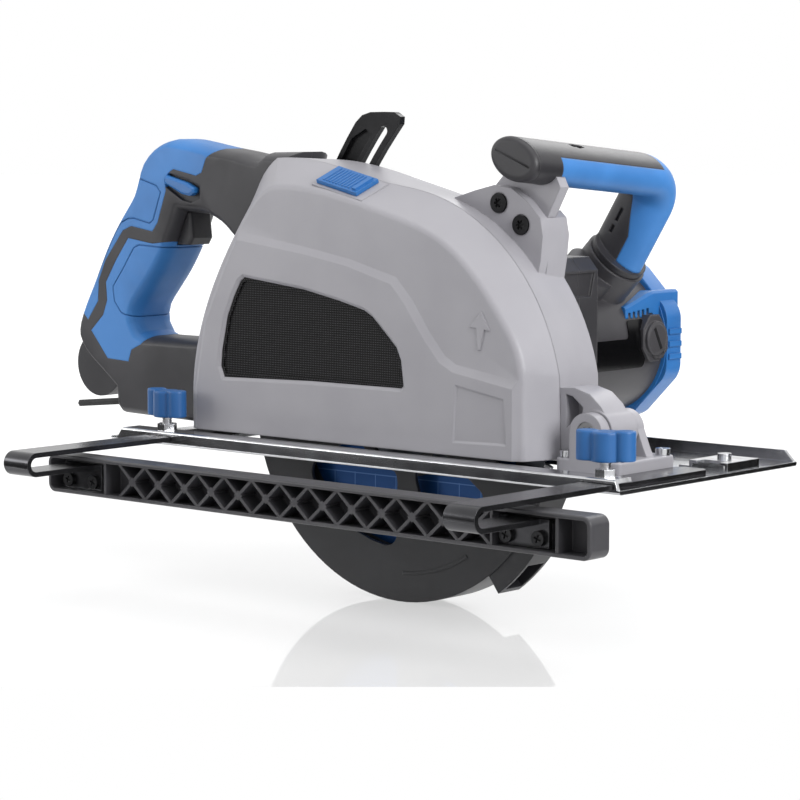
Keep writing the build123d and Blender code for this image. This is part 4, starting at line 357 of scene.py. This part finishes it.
# ---------------------------------------------------------------- sole, arms and bridges
# The sole, its bridges and their screws are steel with a bright nickel finish, slightly streaked
# along the sheet. The arms of the edge guide are flat straps in black chrome.
bright = material("nickel_plate", (0.62, 0.63, 0.65), 0.16, 1.0)
drawn = object_noise(bright, 60, 4.0, (1, 12, 1))
streaks = object_noise(bright, 34, 6.0, (1, 5, 1))
two_tone(bright, streaks.outputs["Fac"], (0.47, 0.47, 0.485), (0.64, 0.65, 0.67), 0.36, 0.60)
rough_range(bright, drawn.outputs["Fac"], 0.10, 0.24)
bump(bright, drawn.outputs["Fac"], 0.03, 0.0002, 0.0005)
dress(bright, "base_plate", "arm_bridge_front", "arm_bridge_rear", "base_screws", "bridge_screws")
strap = paint("black_chrome_strap", (0.05, 0.05, 0.054), (0.10, 0.10, 0.107), 0.26, 700, 0.0006, 0.1, 0.9)
dress(strap, "fence_arm_front", "fence_arm_rear")

# ---------------------------------------------------------------- edge guide bar
# Black glass-filled nylon moulding with a lattice of crossing ribs in front of a smooth face.
fence_black = paint("fence_nylon", (0.040, 0.039, 0.044), (0.056, 0.055, 0.061), 0.40, 1500, 0.0008)
dress(fence_black, "fence_bar")

# ---------------------------------------------------------------- black fasteners and quadrant
# Black-oxide screws, the slotted depth quadrant and the stowed hex key.
oxide = paint("black_oxide", (0.012, 0.012, 0.013), (0.03, 0.03, 0.032), 0.35, 900, 0.0004, 0.0, 0.6)
dress(oxide, "depth_quadrant", "handle_screws", "rear_screws", "fence_screws", "hex_key", "depth_bolt")

# ---------------------------------------------------------------- turned steel
# Pins, studs, flanges, shafts and gears are turned and ground steel; the brushes are carbon.
steel = material("turned_steel", (0.50, 0.50, 0.51), 0.28, 1.0)
lathe_marks = object_noise(steel, 300, 2.0, (1, 14, 1))
rough_range(steel, lathe_marks.outputs["Fac"], 0.2, 0.4)
bump(steel, lathe_marks.outputs["Fac"], 0.06, 0.0002, 0.0003)
dress(steel, "pivot_pin", "knob_stud_front", "knob_stud_rear", "spindle", "inner_flange",
      "outer_flange", "arbor_bolt", "lay_shaft", "lay_gear", "output_gear", "armature_shaft",
      "bearings", "guard_spring", "stator", "armature_core")
carbon = material("brush_carbon", (0.03, 0.03, 0.03), 0.7)
dress(carbon, "brushes")

# ---------------------------------------------------------------- swinging guard
# Cast cheeks and rim under a dark satin coat with an uneven gloss.
guard_coat = paint("guard_coat", (0.010, 0.010, 0.012), (0.016, 0.016, 0.019), 0.42, 800, 0.0010, shine=0.4)
dress(guard_coat, "lower_guard")

# ---------------------------------------------------------------- blade
# Dark-coated plate with a blue printed ring; the print carries only the pale frame lines of a
# table, one row of empty cells below the arbor.
blade_coat = paint("blade_coat", (0.05, 0.055, 0.065), (0.08, 0.085, 0.10), 0.30, 700, 0.0003, 0.1, 0.6)
PRINT_R0, PRINT_R1 = 0.044, 0.089
RAMP = 0.2
place = add(blade_coat, "TexCoord")
shift = add(blade_coat, "Mapping", sockets={"Location": (0, 0, -ARBOR_Z)})
reach = add(blade_coat, "VectorMath", "LENGTH")
wide = add(blade_coat, "Math", "MULTIPLY", {1: 1 / RAMP})
ring = add(blade_coat, "ValToRGB")
ring.color_ramp.interpolation = "CONSTANT"
for radius, level in ((PRINT_R0, 1), (PRINT_R1, 0)):
    stop = ring.color_ramp.elements.new(radius / RAMP)
    stop.color = (level, level, level, 1)
for end in (0, -1):
    ring.color_ramp.elements[end].color = (0, 0, 0, 1)
link(blade_coat, place.outputs["Object"], shift.inputs["Vector"])
link(blade_coat, shift.outputs["Vector"], reach.inputs[0])
link(blade_coat, reach.outputs["Value"], wide.inputs[0])
link(blade_coat, wide.outputs[0], ring.inputs["Fac"])
axes = add(blade_coat, "SeparateXYZ")
sheet = add(blade_coat, "CombineXYZ")
first_cell = add(blade_coat, "Mapping", sockets={"Location": (0.0109, 0.005, 0)})
cells = add(blade_coat, "TexBrick",
            sockets={"Scale": 100.0, "Brick Width": 1.7, "Row Height": 1.0, "Mortar Size": 0.035})
cells.offset = 0.0
row = add(blade_coat, "Math", "COMPARE", {1: -0.0200, 2: 0.0056})
lines = add(blade_coat, "Math", "MULTIPLY")
link(blade_coat, place.outputs["Object"], axes.inputs["Vector"])
link(blade_coat, axes.outputs["X"], sheet.inputs["X"])
link(blade_coat, axes.outputs["Z"], sheet.inputs["Y"])
link(blade_coat, sheet.outputs["Vector"], first_cell.inputs["Vector"])
link(blade_coat, first_cell.outputs["Vector"], cells.inputs["Vector"])
link(blade_coat, axes.outputs["Z"], row.inputs[0])
link(blade_coat, row.outputs[0], lines.inputs[0])
link(blade_coat, cells.outputs["Fac"], lines.inputs[1])


def color_mix(m, factor):
    mix = add(m, "Mix")
    mix.data_type = "RGBA"
    link(m, factor, mix.inputs["Factor"])
    return mix


ink = color_mix(blade_coat, lines.outputs[0])
ink.inputs["A"].default_value = (0.007, 0.050, 0.175, 1)
ink.inputs["B"].default_value = (0.06, 0.14, 0.33, 1)
printed = color_mix(blade_coat, ring.outputs["Color"])
base = blade_coat.node_tree.nodes["Principled BSDF"].inputs["Base Color"]
link(blade_coat, base.links[0].from_socket, printed.inputs["A"])
link(blade_coat, ink.outputs["Result"], printed.inputs["B"])
link(blade_coat, printed.outputs["Result"], base)
dress(blade_coat, "blade")

# ---------------------------------------------------------------- blade tips
# Forty-eight carbide tips are brazed into the teeth, a little wider than the plate, and left
# bright where they are ground.
TEETH, TIP_AT, TIP_LEAD = 48, 0.1120, 0.55
TIP_SIZE = (0.0020, 0.0026, 0.0054)
bm = bmesh.new()
for tooth in range(TEETH):
    before = set(bm.verts)
    bmesh.ops.create_cube(bm, size=1)
    fresh = [v for v in bm.verts if v not in before]
    bmesh.ops.scale(bm, verts=fresh, vec=TIP_SIZE)
    moved(bm, (0, 0, TIP_AT), fresh)
    turned(bm, math.radians(90 - 360 / TEETH * tooth + TIP_LEAD), "Y", fresh)
moved(bm, (0, 0, ARBOR_Z))
rounded(bm, bm.edges[:], 0.0002, 1)
tips = piece("carbide_tips", bm, material("ground_carbide", (0.42, 0.42, 0.44), 0.24, 1.0))
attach(tips, "arbor")

# ---------------------------------------------------------------- studio
# White gloss table top that ends just in front of the saw, a soft key from the right, soft light
# from above and behind, a low box close on the left, and two pairs of black flags beside the
# frame that give the bright metal its dark edges.
AZIMUTH, ELEVATION = math.radians(41.24), math.radians(5.85)
TABLE, TABLE_FRONT = 6.0, 0.2655
floor_z = cad_box[0][2]
bm = bmesh.new()
bmesh.ops.create_grid(bm, x_segments=1, y_segments=1, size=TABLE)
moved(bm, (0, TABLE - TABLE_FRONT, floor_z - 0.0002))
turned(bm, AZIMUTH, "Z")
floor_mat = material("white_table_top", (0.92, 0.92, 0.93), 0.6)
floor = piece("floor", bm, floor_mat)
surface = floor_mat.node_tree.nodes["Principled BSDF"]
# Seen by the camera or in reflections, the top has a dark grey base plus a glow that grows from near the saw
# to far off: painted light that turns the far table white and leaves it greyer close to the saw.
ray = add(floor_mat, "LightPath")
straight = add(floor_mat, "Math", "MAXIMUM")
link(floor_mat, ray.outputs["Is Camera Ray"], straight.inputs[0])
link(floor_mat, ray.outputs["Is Glossy Ray"], straight.inputs[1])
tone = color_mix(floor_mat, straight.outputs[0])
tone.inputs["A"].default_value = (0.92, 0.92, 0.93, 1)
tone.inputs["B"].default_value = (0.35, 0.35, 0.35, 1)
link(floor_mat, tone.outputs["Result"], surface.inputs["Base Color"])
away = add(floor_mat, "TexCoord")
gap = add(floor_mat, "VectorMath", "LENGTH")
far = add(floor_mat, "MapRange", sockets={"From Min": 0.35, "From Max": 1.3, "To Min": 0.70, "To Max": 1.1})
level = add(floor_mat, "Math", "MULTIPLY")
glow = add(floor_mat, "Emission")
link(floor_mat, away.outputs["Object"], gap.inputs[0])
link(floor_mat, gap.outputs["Value"], far.inputs["Value"])
link(floor_mat, straight.outputs[0], level.inputs[0])
link(floor_mat, far.outputs["Result"], level.inputs[1])
link(floor_mat, level.outputs[0], glow.inputs["Strength"])
lift = add(floor_mat, "AddShader")
mirror = add(floor_mat, "BsdfGlossy", sockets={"Roughness": 0.04})
blend = add(floor_mat, "MixShader", sockets={"Fac": 0.27})
link(floor_mat, surface.outputs["BSDF"], lift.inputs[0])
link(floor_mat, glow.outputs["Emission"], lift.inputs[1])
link(floor_mat, lift.outputs["Shader"], blend.inputs[1])
link(floor_mat, mirror.outputs["BSDF"], blend.inputs[2])
link(floor_mat, blend.outputs["Shader"], floor_mat.node_tree.nodes["Material Output"].inputs["Surface"])

world = bpy.data.worlds.new("studio")
bpy.context.scene.world = world
world.use_nodes = True
sky = world.node_tree.nodes["Background"]
sky.inputs["Color"].default_value = (1, 1, 1, 1)
ray = add(world, "LightPath")
mirrored = add(world, "Math", "MAXIMUM")
through = add(world, "Math", "MAXIMUM")
strength = add(world, "MapRange", sockets={"To Min": 0.54, "To Max": 1.0})
link(world, ray.outputs["Is Camera Ray"], mirrored.inputs[0])
link(world, ray.outputs["Is Glossy Ray"], mirrored.inputs[1])
link(world, mirrored.outputs[0], through.inputs[0])
link(world, ray.outputs["Is Transmission Ray"], through.inputs[1])
link(world, through.outputs[0], strength.inputs["Value"])
link(world, strength.outputs["Result"], sky.inputs["Strength"])


def softbox(name, place, target, size, power):
    d = bpy.data.lights.new(name, "AREA")
    d.shape = "RECTANGLE"
    d.size, d.size_y = size
    d.energy = power
    o = bpy.data.objects.new(name, d)
    o.location = place
    o.rotation_euler = (Vector(target) - Vector(place)).to_track_quat("-Z", "Y").to_euler()
    bpy.context.scene.collection.objects.link(o)


softbox("key", (1.78, -0.25, 0.85), (0, 0, 0.05), (0.9, 0.9), 28)
softbox("left", (-1.25, -1.0, 0.35), (-0.1, 0, 0.05), (0.8, 0.6), 6.6)
softbox("top", (0.1, -0.3, 2.0), (0, 0, 0), (1.6, 1.2), 12)
softbox("back", (-0.6, 1.8, 1.2), (0, 0, 0.05), (1.0, 0.8), 8)

# The flags show in reflections only, and not in a steep look at the table top.
STEEP = 0.2
FLAG_LONG, FLAG_HIGH = 1.1, 0.42
flag_black = material("flag_cloth", (0.01, 0.01, 0.01), 0.9, shine=0.1)
heading = add(flag_black, "NewGeometry")
slope = add(flag_black, "SeparateXYZ")
steep = add(flag_black, "Math", "LESS_THAN", {1: -STEEP})
clear = add(flag_black, "BsdfTransparent")
veil = add(flag_black, "MixShader")
link(flag_black, heading.outputs["Incoming"], slope.inputs["Vector"])
link(flag_black, slope.outputs["Z"], steep.inputs[0])
link(flag_black, steep.outputs[0], veil.inputs["Fac"])
link(flag_black, flag_black.node_tree.nodes["Principled BSDF"].outputs["BSDF"], veil.inputs[1])
link(flag_black, clear.outputs["BSDF"], veil.inputs[2])
link(flag_black, veil.outputs["Shader"], flag_black.node_tree.nodes["Material Output"].inputs["Surface"])


def flag(name, width, length, place, upright):
    bm = bmesh.new()
    bmesh.ops.create_grid(bm, x_segments=1, y_segments=1, size=0.5)
    bmesh.ops.scale(bm, verts=bm.verts, vec=(width, length, 1))
    if upright:
        turned(bm, math.pi / 2, "X")
        turned(bm, math.pi / 2, "Z")
    moved(bm, place)
    turned(bm, AZIMUTH, "Z")
    cloth = piece(name, bm, flag_black)
    cloth.visible_camera = cloth.visible_diffuse = cloth.visible_shadow = False


for side in (-1, 1):
    flag("flag_foot", FLAG_HIGH, FLAG_LONG, (side * 0.64, 0, floor_z + 0.001), upright=False)
    flag("flag", FLAG_LONG, FLAG_HIGH, (side * 0.85, 0, 0.12), upright=True)

# ---------------------------------------------------------------- camera
# Long lens, a little above the sole, looking at the front and the chip box side of the saw.
cam = bpy.data.cameras.new("camera")
cam.sensor_width = 36
cam.lens = 125.87
eye = bpy.data.objects.new("camera", cam)
eye.location = (1.119, -1.286, 0.208)
eye.rotation_euler = (math.pi / 2 - ELEVATION, 0, AZIMUTH)
bpy.context.scene.collection.objects.link(eye)
bpy.context.scene.camera = eye
bpy.context.scene.view_settings.view_transform = "Standard"
